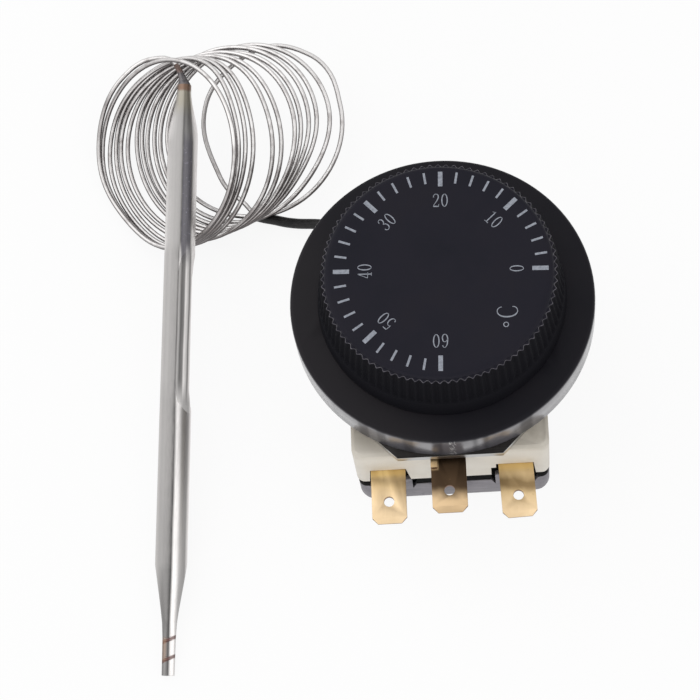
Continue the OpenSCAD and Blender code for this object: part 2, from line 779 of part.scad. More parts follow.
module bezel_screws() {
    color("gainsboro") for (side = [-1, 1]) translate([side * screw_spacing / 2, 0, 0]) difference() {
        union() {
            translate([0, 0, bracket_z - screw_past])
                cylinder(r = screw_r, h = screw_top - screw_head_h / 2 - bracket_z + screw_past);
            translate([0, 0, screw_top - screw_head_h]) rotate_extrude()
                polygon([[0, 0], [screw_r, 0], [screw_head_r, screw_head_h], [0, screw_head_h]]);
        }
        for (a = [0, 90]) translate([0, 0, screw_top - cross_depth]) rotate([0, 0, a])
            translate([-screw_r, -cross_w / 2, 0]) cube([2 * screw_r, cross_w, cross_depth + eps]);
    }
}

// outline of the knob's fluted skirt, rounded ridges with narrow valleys
function ridge_r(a, r) = r - flute_depth * (1 - abs(cos(ridge_count * a / 2)));
module ridge_ring(r) {
    points = 6 * ridge_count;
    polygon([for (k = [0 : points - 1])
        let (a = 360 * k / points) ridge_r(a, r) * [cos(a), sin(a)]]);
}

module knob() {
    color([0.05, 0.05, 0.07]) difference() {
        union() {
            difference() {
                knob_skin();
                knob_hollow();
            }
            translate([0, 0, hub_z]) cylinder(r = hub_r, h = knob_z - hub_z + eps);
            // four ribs from the hub to the skirt
            for (a = [45 : 90 : 315]) rotate([0, 0, a])
                translate([hub_r - skirt_chamfer, -hub_rib_t / 2, knob_z + hub_rib_rise])
                    cube([knob_rim_r - knob_wall - hub_r, hub_rib_t,
                          knob_h - knob_wall - hub_rib_rise + eps]);
        }
        shaft_bore();
    }
}

// outside of the knob: fluted skirt over a plain ring, and a dial face raised on a rounded brow
module knob_skin() {
    flute_r = knob_base_r - (knob_base_r - knob_rim_r) * (flute_z - knob_z) / (rim_z - knob_z);
    brow_r = knob_rim_r - flute_depth - brow_set;
    brow = [for (a = [0 : 15 : 90]) [brow_r - dial_rise * (1 - cos(a)), rim_z + dial_rise * sin(a)]];
    translate([0, 0, flute_z]) linear_extrude(flute_h, scale = knob_rim_r / flute_r) ridge_ring(flute_r);
    rotate_extrude($fn = 96) polygon([[0, knob_z], [knob_base_r - skirt_chamfer, knob_z],
        [knob_base_r, knob_z + skirt_chamfer], [flute_r + skirt_step, flute_z], [0, flute_z]]);
    rotate_extrude($fn = 96) polygon(concat([[0, flute_z], [brow_r, flute_z]], brow, [[0, dial_z]]));
}

// hollow between the hub and the skirt
module knob_hollow() {
    rotate_extrude($fn = 96) polygon([[hub_r, knob_z - over], [knob_base_r - knob_wall, knob_z - over],
        [knob_base_r - knob_wall, knob_z], [knob_rim_r - knob_wall - flute_depth, dial_z - knob_wall],
        [hub_r, dial_z - knob_wall]]);
}

// bore of the hub, with a flat set back to leave room for the spring clip
module shaft_bore() {
    translate([0, 0, hub_z - over]) intersection() {
        cylinder(r = shaft_r + run_gap, h = hub_top - hub_z + over);
        translate([-shaft_r - over, -shaft_r - over, 0])
            cube([2 * shaft_r + over - flat_depth + clip_room, 2 * (shaft_r + over),
                  hub_top - hub_z + over]);
    }
}

// leaf with two shallow waves, which bear on the hub while its ends bear on the shaft's flat
module knob_clip() {
    waves = 16;
    bow = [for (k = [0 : waves]) [leaf_bow * (1 - cos(720 * k / waves)) / 2, clip_l * k / waves]];
    color("silver") translate([shaft_r - flat_depth, 0, hub_z + clip_rise]) rotate([90, 0, 0])
        linear_extrude(clip_w, center = true)
            polygon(concat([for (p = bow) p + [leaf_t, 0]], [for (k = [waves : -1 : 0]) bow[k]]));
}

module shaft() {
    groove_r = shaft_r - groove_depth;
    color("silver") difference() {
        rotate_extrude() polygon([[0, foot_z], [foot_r - foot_chamfer, foot_z],
            [foot_r, foot_z + foot_chamfer], [foot_r, collar_top - collar_h],
            [collar_r, collar_top - collar_h], [collar_r, collar_top],
            [shaft_r, collar_top], [shaft_r, clip_z - run_gap], [groove_r, clip_z - run_gap],
            [groove_r, clip_z + clip_t + run_gap], [shaft_r, clip_z + clip_t + run_gap],
            [shaft_r, shaft_top - shaft_chamfer], [shaft_r - shaft_chamfer, shaft_top], [0, shaft_top]]);
        translate([shaft_r - flat_depth, -shaft_r, hub_z - fit])
            cube([flat_depth + over, 2 * shaft_r, shaft_top - hub_z + over]);
    }
}

module stop_washer() {
    color("darkgray") difference() {
        translate([0, 0, washer_z]) linear_extrude(washer_t) union() {
            circle(washer_r);
            rotate(finger_angle) translate([0, -finger_w / 2]) square([finger_reach, finger_w]);
        }
        translate([0, 0, washer_z - over]) cylinder(r = shaft_r, h = washer_t + 2 * over);
    }
}

module shaft_circlip() {
    color("dimgray") translate([0, 0, clip_z]) difference() {
        cylinder(r = shaft_r + circlip_w, h = clip_t);
        translate([0, 0, -over]) cylinder(r = shaft_r - groove_depth, h = clip_t + 2 * over);
        translate([0, -circlip_mouth / 2, -over])
            cube([shaft_r + circlip_w + over, circlip_mouth, clip_t + 2 * over]);
    }
}

module adjusting_nut() {
    color("gold") difference() {
        translate([-nut_l / 2, -nut_w / 2, nut_z]) cube([nut_l, nut_w, nut_h]);
        translate([0, 0, nut_z + nut_floor]) cylinder(r = foot_r + run_gap, h = nut_h);
        translate([0, 0, nut_z - over]) cylinder(r = calibration_r, h = nut_h);
        // ends stepped down, so that only the middle is full height
        for (m = [0, 1]) mirror([m, 0, 0])
            translate([nut_l / 2 - nut_step_l, -nut_w, nut_top - nut_step_h])
                cube([nut_step_l + over, 2 * nut_w, nut_step_h + over]);
    }
}

module calibration_screw() {
    shoulder = calibration_out + 2 * fit;
    top = calibration_out + nut_floor;
    color("silver") difference() {
        translate([0, 0, nut_z - calibration_out]) rotate_extrude() polygon([
            [0, 0], [calibration_tip_r, 0], [calibration_r - 3 * fit, calibration_out],
            [calibration_r, shoulder], [calibration_r, top], [0, top]]);
        translate([-calibration_r - over, -calibration_slot / 2, nut_z + nut_floor - calibration_slot])
            cube([2 * (calibration_r + over), calibration_slot, calibration_slot + over]);
    }
}

module push_pin() {
    color("ivory") translate([0, body_mid_y, 0]) rotate_extrude() polygon([
        [0, pin_foot], [pin_r - pin_chamfer, pin_foot], [pin_r, pin_foot + pin_chamfer],
        [pin_r, pin_top - pin_tip_l - pin_neck_l], [pin_tip_r, pin_top - pin_tip_l],
        [pin_tip_r, pin_top - pin_chamfer], [pin_tip_r - pin_chamfer, pin_top], [0, pin_top]]);
}

// spring blade with a tongue cut in it: the frame carries the contact, the tongue takes the push
module snap_blade() {
    root = strip_rivet_y;
    foot = blade_foot_w / 2;
    color("darkgoldenrod") translate([0, 0, blade_z]) linear_extrude(blade_t) difference() {
        union() {
            polygon([[centre_tab_x - foot, root - blade_foot_l], [centre_tab_x + foot, root - blade_foot_l],
                     [centre_tab_x + foot, root + blade_waist], [blade_w / 2, root + blade_flare],
                     [blade_w / 2, contact_y], [-blade_w / 2, contact_y],
                     [-blade_w / 2, root + blade_flare], [centre_tab_x - foot, root + blade_waist]]);
            translate([0, contact_y]) circle(blade_w / 2 - over);
        }
        translate([centre_tab_x, root]) circle(strip_rivet_r + blade_hole_gap);
        translate([0, contact_y]) circle(contact_shank_r);
        for (side = [-1, 1]) translate([side * tongue_x - tongue_slot / 2, root + tongue_start])
            square([tongue_slot, tongue_l]);
        translate([-tongue_x - tongue_slot / 2, root + tongue_start])
            square([2 * tongue_x + tongue_slot, tongue_slot]);
    }
}

module moving_contact() {
    color("lightgray") translate([0, contact_y, 0])
        rivet(contact_shank_r, contact_r, contact_h, blade_z, blade_top);
}

module sleeve() {
    color([0.05, 0.05, 0.05]) swept_tube(sleeve_route, sleeve_r);
}

// place and lean of a turn: share 0 is the first turn, under the bulb, and share 1 the last
function turn_lean(s) = coil_lean[0] + s * (coil_lean[1] - coil_lean[0]);
function turn_r(s) = coil_r[0] + s * (coil_r[1] - coil_r[0]);
function turn_centre(s) = [coil_first[0] + s * coil_step[0], coil_first[1] + s * coil_step[1],
    capillary_r + coil_lift * s
    + turn_r(s) * norm([sin(turn_lean(s)) * cos(coil_pitch), sin(coil_pitch)])];
module turn_disc(s, grow, lift) {
    translate(turn_centre(s)) rotate([coil_pitch, 0, 0]) rotate([0, -turn_lean(s), 0])
        translate([0, 0, lift])
            cylinder(r = turn_r(s) + grow, h = 2 * capillary_r, center = true, $fn = 32);
}

module capillary_coil() {
    color("silver") difference() {
        hull() for (s = [0, 0.5, 1]) turn_disc(s, coil_skin, 0);
        hull() for (s = [0, 0.5, 1]) turn_disc(s, -coil_hollow, coil_cut * (1 - 2 * s));
        translate([-coil_floor / 2, -coil_floor / 2, -coil_floor]) cube(coil_floor);
    }
}

module capillary_tail() {
    color("silver") swept_tube(tail_route, capillary_r);
}

// along the bulb: local +Z runs from the crimped tail to the neck, and local -Y faces up
module along_bulb() {
    translate([bulb_tail[0], bulb_tail[1], crimp_t / 2 * cos(bulb_rise)])
        rotate([0, 0, -bulb_turn]) rotate([bulb_rise, 0, 0]) rotate([-90, 0, 0]) children();
}

module weld_cone() {
    foot = neck_r - 2 * run_gap;
    color("dimgray") along_bulb() translate([0, 0, bulb_l]) rotate_extrude()
        polygon([[0, 0], [foot, 0], [foot - 3 * run_gap, neck_end], [weld_mid_r, weld_mid_l],
                 [capillary_r + fit, weld_l], [0, weld_l]]);
}

// radius of the neck, a share of the way along it: a smooth fall from the bulb to the neck's end
function neck_curve(s) = neck_r + (bulb_r - press_loss - neck_r) * (1 + cos(180 * s)) / 2;

module bulb() {
    neck = [for (s = [0 : 0.1 : 1]) [neck_curve(s), neck_start + s * neck_l]];
    color("lightsteelblue") along_bulb() difference() {
        union() {
            rotate_extrude() polygon(concat([[0, crimp_l - dent_edge], [crimp_t / 2, crimp_l - dent_edge],
                [throat_r, crimp_l + throat_l], [swell_r, crimp_l + swell_l], [bulb_r, taper_end],
                [bulb_r, dent_start - dent_edge]], neck, [[neck_r, bulb_l], [0, bulb_l]]));
            hull() {
                translate([0, 0, crimp_l - crimp_overlap]) crimp_slice(crimp_w, crimp_t);
                crimp_slice(crimp_w - fit, crimp_t);
            }
            hull() {
                translate([0, 0, crimp_l - crimp_overlap]) crimp_slice(crimp_w, crimp_t);
                translate([0, 0, crimp_l + throat_l]) crimp_slice(2 * throat_r, 2 * throat_r - 2 * fit);
            }
        }
        bulb_dent();
        for (z = mark_places, face = [-1, 1])
            translate([0, face * (crimp_t / 2 + mark_out), z]) rotate([0, 90 - mark_slant, 0])
                cylinder(r = mark_r, h = 2 * crimp_w, center = true, $fn = 24);
    }
}

// flat pressed into the side, with a soft ramp at each end
module bulb_dent() {
    near = dent_at + dent_round;
    rotate([0, 0, -dent_turn]) translate([0, 0, dent_start]) rotate([90, 0, 0])
        linear_extrude(4 * bulb_r, center = true)
            polygon([[bulb_r + over, -dent_edge], [bulb_r, 0], [near, dent_edge], [dent_at, dent_ramp],
                     [dent_at, dent_l - dent_ramp], [near, dent_l - dent_edge], [bulb_r, dent_l],
                     [bulb_r + over, dent_l + dent_edge]]);
}

// thin slice of the crimped tail: a flat oval
module crimp_slice(w, t) {
    linear_extrude(2 * fit) hull() for (side = [-1, 1])
        translate([side * (w - t) / 2, 0]) circle(t / 2, $fn = 24);
}

back_cover();
diaphragm_capsule();
capillary_stub();
insulator();
ceramic_housing();
tie_rivets();
terminal_left();
terminal_centre();
terminal_right();
terminal_rivets();
contact_left();
contact_right();
bracket();
shaft_bush();
bezel();
bezel_screws();
knob();
knob_clip();
shaft();
stop_washer();
shaft_circlip();
adjusting_nut();
calibration_screw();
push_pin();
snap_blade();
moving_contact();
sleeve();
capillary_coil();
capillary_tail();
weld_cone();
bulb();
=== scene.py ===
import bmesh
import bpy
import json
import math
import numpy as np
from mathutils import Euler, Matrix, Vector


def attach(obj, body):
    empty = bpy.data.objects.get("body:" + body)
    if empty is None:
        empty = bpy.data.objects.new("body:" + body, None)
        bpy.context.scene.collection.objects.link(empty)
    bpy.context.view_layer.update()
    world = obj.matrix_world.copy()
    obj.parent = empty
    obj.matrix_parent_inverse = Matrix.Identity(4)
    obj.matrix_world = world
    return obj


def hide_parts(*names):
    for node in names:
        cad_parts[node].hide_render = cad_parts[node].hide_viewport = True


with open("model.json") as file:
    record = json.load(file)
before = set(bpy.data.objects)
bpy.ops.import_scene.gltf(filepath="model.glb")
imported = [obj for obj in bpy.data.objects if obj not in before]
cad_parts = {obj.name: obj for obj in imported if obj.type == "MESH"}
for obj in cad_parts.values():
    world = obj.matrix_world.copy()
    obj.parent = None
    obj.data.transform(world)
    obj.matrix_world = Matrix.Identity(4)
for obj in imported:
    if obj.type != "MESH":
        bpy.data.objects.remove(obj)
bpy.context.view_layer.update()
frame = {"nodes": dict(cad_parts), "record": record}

mm = 0.001
samePoint = 1e-7  # metres; points at a pole or seam that lie nearer than this are one

# camera, from the photograph's perspective: place in mm, turn in degrees, near clip in metres
view = {
    "place": (10.64, -175.22, 462.37), "turn": (21.07, 4.37, -1.82), "lens": 132.64, "sensor": 36,
    "near": 0.01,
}
camData = bpy.data.cameras.new("view")
camData.lens = view["lens"]
camData.sensor_width = view["sensor"]
camData.clip_start = view["near"]
cam = bpy.data.objects.new("view", camData)
cam.location = Vector(view["place"]) * mm
cam.rotation_euler = Euler([math.radians(a) for a in view["turn"]], "XYZ")
bpy.context.collection.objects.link(cam)
bpy.context.scene.camera = cam
print("camera placed")


# surfaces

def smoothCurve(points, step):
    # cubic through the points, its slope at each the change over its two neighbours
    p = np.asarray(points, float)
    t = np.concatenate([[0], np.cumsum(np.linalg.norm(np.diff(p, axis=0), axis=1))])
    slope = np.gradient(p, t, axis=0)
    q = np.linspace(0, t[-1], max(int(t[-1] / step), 2) + 1)
    k = np.clip(np.searchsorted(t, q, side="right") - 1, 0, len(t) - 2)
    h = (t[k + 1] - t[k])[:, None]
    x = (q - t[k])[:, None] / h
    return ((1 + 2 * x) * (1 - x) ** 2 * p[k] + x * (1 - x) ** 2 * h * slope[k]
            + x ** 2 * (3 - 2 * x) * p[k + 1] + x ** 2 * (x - 1) * h * slope[k + 1])


def meshPiece(name, points, faces, body, smooth=True):
    # a mesh object from points in mm, riding on a body
    mesh = bpy.data.meshes.new(name)
    mesh.from_pydata((np.asarray(points) * mm).tolist(), [], [list(f) for f in faces])
    mesh.polygons.foreach_set("use_smooth", [smooth] * len(mesh.polygons))
    mesh.update()
    piece = bpy.data.objects.new(name, mesh)
    bpy.context.collection.objects.link(piece)
    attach(piece, body)
    return piece


def gridFaces(rows, cols):
    # quads of a grid of rows by columns, closed round the columns
    i = np.arange(rows - 1)[:, None] * cols
    j = np.arange(cols)[None, :]
    j2 = (j + 1) % cols
    corners = np.broadcast_arrays(i + j, i + j2, i + cols + j2, i + cols + j)
    return np.stack(corners, -1).reshape(-1, 4)


def weldPoles(piece):
    # merges what meets at poles and seams, and turns every face outwards
    bm = bmesh.new()
    bm.from_mesh(piece.data)
    bmesh.ops.remove_doubles(bm, verts=bm.verts, dist=samePoint)
    bmesh.ops.recalc_face_normals(bm, faces=bm.faces)
    bm.to_mesh(piece.data)
    bm.free()


def fullTurn(count):
    # angles spread evenly round a full turn
    return np.linspace(0, 2 * math.pi, count, endpoint=False)


def frameAlong(path):
    # for each point of a path, its direction and two directions square to it
    d = np.gradient(path, axis=0)
    d /= np.linalg.norm(d, axis=1)[:, None]
    side = np.cross(d, [0.0, 0.0, 1.0])
    side /= np.linalg.norm(side, axis=1)[:, None]
    return d, side, np.cross(side, d)


def unitRings(path, sides):
    # for each point of a path, a ring of radius 1 square to it: cos a * side + sin a * up
    _, side, up = frameAlong(path)
    a = fullTurn(sides)[None, :, None]
    return np.cos(a) * side[:, None] + np.sin(a) * up[:, None]


def closeEnds(path, rings):
    # the rings along a path, with a pole at each of its ends
    pole = 0 * rings[:1]
    return np.concatenate([path[:1, None] + pole, rings, path[-1:, None] + pole])


# capillary

# sizes in mm, the exit in metres; a turn's share runs from 0, the turn under the bulb, to 1, the last turn
# seen on the right. Each row of shares is one turn, from the sleeve to the bulb, at the parts of the turn
# that shareAt names
coil = {
    "wireR": 0.45, "pitch": 21, "first": (-53, 42.6), "step": (17.5, 6.5), "lean": (38, -33),
    "radius": (18.1, -1.2), "perTurn": 48, "start": 0.455, "stop": 12.09, "shareStep": 0.02,
    "ringStep": 1.3, "sides": 14, "exit": (-0.010, 0.0183, 0.0046),
    "shareAt": (0, 0.08, 0.17, 0.46, 0.61),
    "shares": [(1.1, 1.1, 1.1, 1.025, 0.96), (0.93, 0.94, 0.93, 0.9, 0.76), (0.85, 0.87, 0.88, 0.77, 0.62),
               (0.78, 0.79, 0.81, 0.69, 0.56), (0.69, 0.7, 0.72, 0.61, 0.53), (0.62, 0.6, 0.63, 0.55, 0.49),
               (0.56, 0.55, 0.57, 0.41, 0.42), (0.43, 0.46, 0.51, 0.33, 0.35), (0.32, 0.33, 0.4, 0.18, 0.17),
               (0.26, 0.28, 0.34, 0.12, 0.1), (0.17, 0.22, 0.28, 0.06, 0.06), (0.04, 0.03, 0.03, 0.02, 0.03),
               (-0.01, -0.04)],
    # how deep a turn is against its width, on its far side and on its near side, by its share
    "farAt": (0, 0.4, 0.7, 1.0), "far": (1.0, 0.966, 0.99, 1.03),
    "nearAt": (0, 0.28, 0.52, 0.65, 0.83, 1.0), "near": (1.035, 1.04, 1.0, 0.968, 0.96, 0.978),
    # the last turn climbs this much onto the one before it, from this turn on and over this part of a turn;
    # the turns under the bulb are drawn in by this part of their radius low on the left, until this share
    "climb": 0.8, "climbFrom": 11.3, "climbOver": 0.4, "tuck": 0.07, "tuckTo": 0.45,
    "leadIn": [[-37.8, 35.3, 0.6], [-39.4, 37.1, 0.5], [-42.3, 40, 0.8], [-44.4, 44.4, 2], [-45.6, 47.7, 3.4],
               [-46.2, 51, 5], [-45.8, 54, 6.8], [-44.6, 56.8, 8.6], [-42.9, 58.9, 9.9], [-40.7, 60.7, 11],
               [-38, 62.4, 11.9], [-35.5, 63.6, 12.5], [-32.7, 64.4, 12.8], [-29.4, 64.3, 12.9],
               [-25.7, 63.1, 12.5], [-22.2, 61.0, 11.7], [-20.1, 58.1, 10.8]],
    "tailRoute": [[-63.3, 57.6, 11.5], [-61.7, 59.3, 12.4], [-59.8, 60.7, 13.2], [-57.6, 61.9, 14.1],
                  [-55.4, 62.1, 15], [-53.3, 61.7, 16], [-51.8, 61.1, 16.9], [-50.6, 60, 17.7],
                  [-49.8, 58.8, 18.2], [-49.3, 57.7, 18.4]],
}
sleeve = {
    "outerR": 1.0, "innerR": 0.62, "mouth": 4.0, "lip": 0.08, "sides": 32, "ringStep": 0.8,
    "route": [[-10, 17.2, 4.6], [-10, 19, 4.6], [-10.3, 21.6, 4.5], [-11.6, 24.4, 4.3], [-14.2, 26.8, 4.0],
              [-17.6, 28.4, 3.7], [-21.2, 29.4, 3.4], [-25, 30.1, 3.0], [-28, 30.7, 2.2], [-30.5, 31.4, 1.6],
              [-33, 32.3, 1.2], [-35.3, 33, 1.0], [-36.4, 33.4, 1.0]],
}
# the fillet where the wire enters the bulb: rings as (x, y, z, radius) from the bulb's neck to the wire
fillet = {
    "sides": 24, "ringStep": 0.2,
    "rings": [(-48.35, 53.6, 17.5, 1.3), (-48.32, 54.3, 17.62, 1.3), (-48.42, 55.0, 17.78, 1.08),
              (-48.6, 55.8, 17.95, 0.8), (-48.85, 56.7, 18.15, 0.62), (-49.2, 57.6, 18.35, 0.57),
              (-49.8, 58.75, 18.25, 0.5)],
}
# the bulb's axis from its tail, angles in degrees; its radius at stations along it; the wire keeps off it
# as far along as keepOff
bulbLine = {
    "tail": (-54.6, -58.1, 0.79), "turn": 3.2, "rise": 8.5, "roll": 8.6, "keepOff": 117,
    "stations": [0, 9, 20.5, 103, 108, 113, 118], "radii": [1.2, 1.4, 3.0, 3.0, 2.3, 1.35, 0.7],
}


def bulbAxis():
    # the bulb's tail and the direction from it to the neck
    a, b = math.radians(bulbLine["turn"]), math.radians(bulbLine["rise"])
    axis = np.array([math.sin(a) * math.cos(b), math.cos(a) * math.cos(b), math.sin(b)])
    return np.array(bulbLine["tail"]), axis


def turnPoint(u, share):
    # circle round a centre that moves with the share, in a plane pitched back and leaning to one side
    pitch = math.radians(coil["pitch"])
    back = np.array([0, math.cos(pitch), math.sin(pitch)])
    upright = np.array([0, -math.sin(pitch), math.cos(pitch)])
    lean = np.radians(coil["lean"][0] + coil["lean"][1] * share)[:, None]
    across = np.cos(lean) * np.array([1, 0, 0]) + np.sin(lean) * upright
    r = (coil["radius"][0] + coil["radius"][1] * share)[:, None]
    climb = coil["climb"] * np.clip((u - coil["climbFrom"]) / coil["climbOver"], 0, 1)
    z = coil["wireR"] + r[:, 0] * np.hypot(across[:, 2], back[2]) + climb
    place = np.array(coil["first"]) + np.array(coil["step"]) * share[:, None]
    centre = np.column_stack([place, z])
    t = math.pi - 2 * math.pi * u
    lowLeft = np.where((np.sin(t) < 0) & (np.cos(t) < 0), np.sin(2 * t) ** 2, 0)
    r *= (1 - coil["tuck"] * lowLeft * np.clip(1 - share / coil["tuckTo"], 0, 1))[:, None]
    depth = np.where(np.sin(t) > 0, np.interp(share, coil["farAt"], coil["far"]),
                     np.interp(share, coil["nearAt"], coil["near"]))
    return centre + r * (np.cos(t)[:, None] * across + (depth * np.sin(t))[:, None] * back)


def windCoil():
    # the shares, joined by a smooth curve, give the turns; the lead and the tail are added
    knots = [(turn + at, share) for turn, row in enumerate(coil["shares"])
             for at, share in zip(coil["shareAt"], row)]
    u = np.arange(coil["start"], coil["stop"], 1 / coil["perTurn"])
    curve = smoothCurve(knots, coil["shareStep"])
    turns = turnPoint(u, np.interp(u, curve[:, 0], curve[:, 1]))
    step = 2 * math.pi * coil["radius"][0] / coil["perTurn"]
    lead = smoothCurve(sleeve["route"][1:] + coil["leadIn"] + turns[:2].tolist(), step)[:-2]
    tail = smoothCurve(turns[-2:].tolist() + coil["tailRoute"], step)[2:]
    return np.concatenate([lead, turns, tail]), len(lead)


# how the coil settles, in mm where it isn't a count
settle = {
    "rounds": 120, "room": 0.93,  # rounds, and room from centre to centre of two wires
    "held": 6, "neighbours": 14,  # points held at each end, and points along the wire that never push
    "reach": 1.5, "clear": 0.05,  # how far along the wire a point pushes, and the gap to bulb and sleeve
    "least": 0.05, "upward": 0.1,  # least distance divided by, and the sleeve's added push upward
    "tubeFrom": 5, "tubeStep": 1.0,  # first point of the sleeve's route that pushes, and the spacing there
    "pastLead": 2,  # the sleeve pushes only the points further than this past the lead
}


def settleCoil(path, first):
    # turns that lie in each other, in the bulb, in the sleeve or in the floor are pushed apart, a little each
    # round, and what each point has moved is evened out with its neighbours'
    start = path.copy()
    index = np.arange(len(path))
    free = ((index >= first - settle["held"]) & (index < len(path) - settle["held"]))[:, None]
    other = np.abs(index[:, None] - index[None, :]) > settle["neighbours"]
    base, axis = bulbAxis()
    tube = smoothCurve(sleeve["route"][settle["tubeFrom"]:], settle["tubeStep"])
    tubeRoom = sleeve["outerR"] + coil["wireR"] + settle["clear"]
    for _ in range(settle["rounds"]):
        along = np.gradient(path, axis=0)
        along /= np.linalg.norm(along, axis=1)[:, None]
        apart = path[:, None] - path[None]
        beside = np.einsum("ijk,jk->ij", apart, along)
        apart -= beside[..., None] * along[None]
        gap = np.linalg.norm(apart, axis=2)
        near = other & (np.abs(beside) < settle["reach"]) & (gap < settle["room"])
        share = (settle["room"] - gap) * 0.5 / np.maximum(gap, settle["least"])
        push = np.where(near, share, 0)[..., None] * apart
        move = push.sum(1) / np.maximum(near.sum(1), 1)[:, None]
        s = (path - base) @ axis
        out = path - base - s[:, None] * axis
        far = np.linalg.norm(out, axis=1)
        need = np.interp(s, bulbLine["stations"], bulbLine["radii"]) + coil["wireR"] + settle["clear"]
        inBulb = (s > 0) & (s < bulbLine["keepOff"]) & (far < need)
        move += np.where(inBulb, (need - far) / np.maximum(far, settle["least"]), 0)[:, None] * out
        fromTube = path[:, None] - tube[None]
        dist = np.linalg.norm(fromTube, axis=2)
        k = dist.argmin(1)
        lift = fromTube[index, k]
        lift[:, 2] = np.abs(lift[:, 2]) + settle["upward"]
        lift /= np.linalg.norm(lift, axis=1)[:, None]
        inTube = (dist[index, k] < tubeRoom) & (index > first + settle["pastLead"])
        move += np.where(inTube, tubeRoom - dist[index, k], 0)[:, None] * lift
        shift = path + move * free - start
        even = shift.copy()
        even[1:-1] = 0.25 * shift[:-2] + 0.5 * shift[1:-1] + 0.25 * shift[2:]
        path = start + 0.5 * (shift + even) * free
        path[:, 2] = np.maximum(path[:, 2], coil["wireR"])
    return path


def makeCapillary():
    # a round tube along the settled path: centre + wireR * unit ring, closed at both ends
    path, first = windCoil()
    path = settleCoil(path, first)
    path = smoothCurve(path, coil["ringStep"])
    points = closeEnds(path, path[:, None] + coil["wireR"] * unitRings(path, coil["sides"]))
    faces = gridFaces(len(points), coil["sides"])
    piece = meshPiece("capillary", points.reshape(-1, 3), faces, "body")
    weldPoles(piece)
    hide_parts("capillary_coil", "capillary_tail")
    length = np.linalg.norm(np.diff(path, axis=0), axis=1).sum()
    print("capillary wound:", len(path), "rings,", round(length), "mm")
    return piece, path, length


def makeSleeve():
    # a round wall carried along the route: outside, the mouth's rim, and inside back to a floor that the
    # wire fills
    path = smoothCurve(sleeve["route"], sleeve["ringStep"])
    ring = unitRings(path, sleeve["sides"])
    ahead = frameAlong(path)[0][-1:, None]
    inner = np.arange(len(path) - 1, len(path) - 1 - int(sleeve["mouth"] / sleeve["ringStep"]), -1)
    rim = 0.5 * (sleeve["outerR"] + sleeve["innerR"])
    points = np.concatenate([
        path[:1, None] + 0 * ring[:1], path[:, None] + sleeve["outerR"] * ring,
        path[-1:, None] + sleeve["lip"] * ahead + rim * ring[-1:],
        path[inner, None] + sleeve["innerR"] * ring[inner], path[inner[-1:], None] + 0 * ring[:1]])
    faces = gridFaces(len(points), sleeve["sides"])
    piece = meshPiece("capillary_sleeve", points.reshape(-1, 3), faces, "body")
    weldPoles(piece)
    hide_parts("sleeve")
    return piece


def makeFillet():
    # a tube along the fillet's line whose radius follows its rings, closed at both ends
    rings = smoothCurve(fillet["rings"], fillet["ringStep"])
    path, r = rings[:, :3], rings[:, 3, None, None]
    points = closeEnds(path, path[:, None] + r * unitRings(path, fillet["sides"]))
    faces = gridFaces(len(points), fillet["sides"])
    piece = meshPiece("braze_fillet", points.reshape(-1, 3), faces, "body")
    weldPoles(piece)
    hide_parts("weld_cone")
    return piece


capillary, capillaryPath, capillaryLength = makeCapillary()
sleevePiece = makeSleeve()
filletPiece = makeFillet()
capillaryLength * mm
(capillaryPath * mm).tolist()


# knob and its dial

knob = {
    "foot": 34.8, "fluteFoot": 38.9, "rim": 46.5, "top": 47.47, "footR": 22.3, "rimR": 20.8,
    "fluteDepth": 0.5, "ridges": 90, "perRidge": 8, "ridgePower": 0.8, "fluteRows": 12, "wall": 2.4,
    "edge": 0.3, "hubR": 6.5, "hubFoot": 33.35, "boreR": 3.05, "boreFlat": 2.1, "flatSide": 0.05,
    "boreTop": 44.5, "rimLine": 0.07, "browIn": 0.1, "faceRings": (17.5, 13, 8, 3, 0),
}


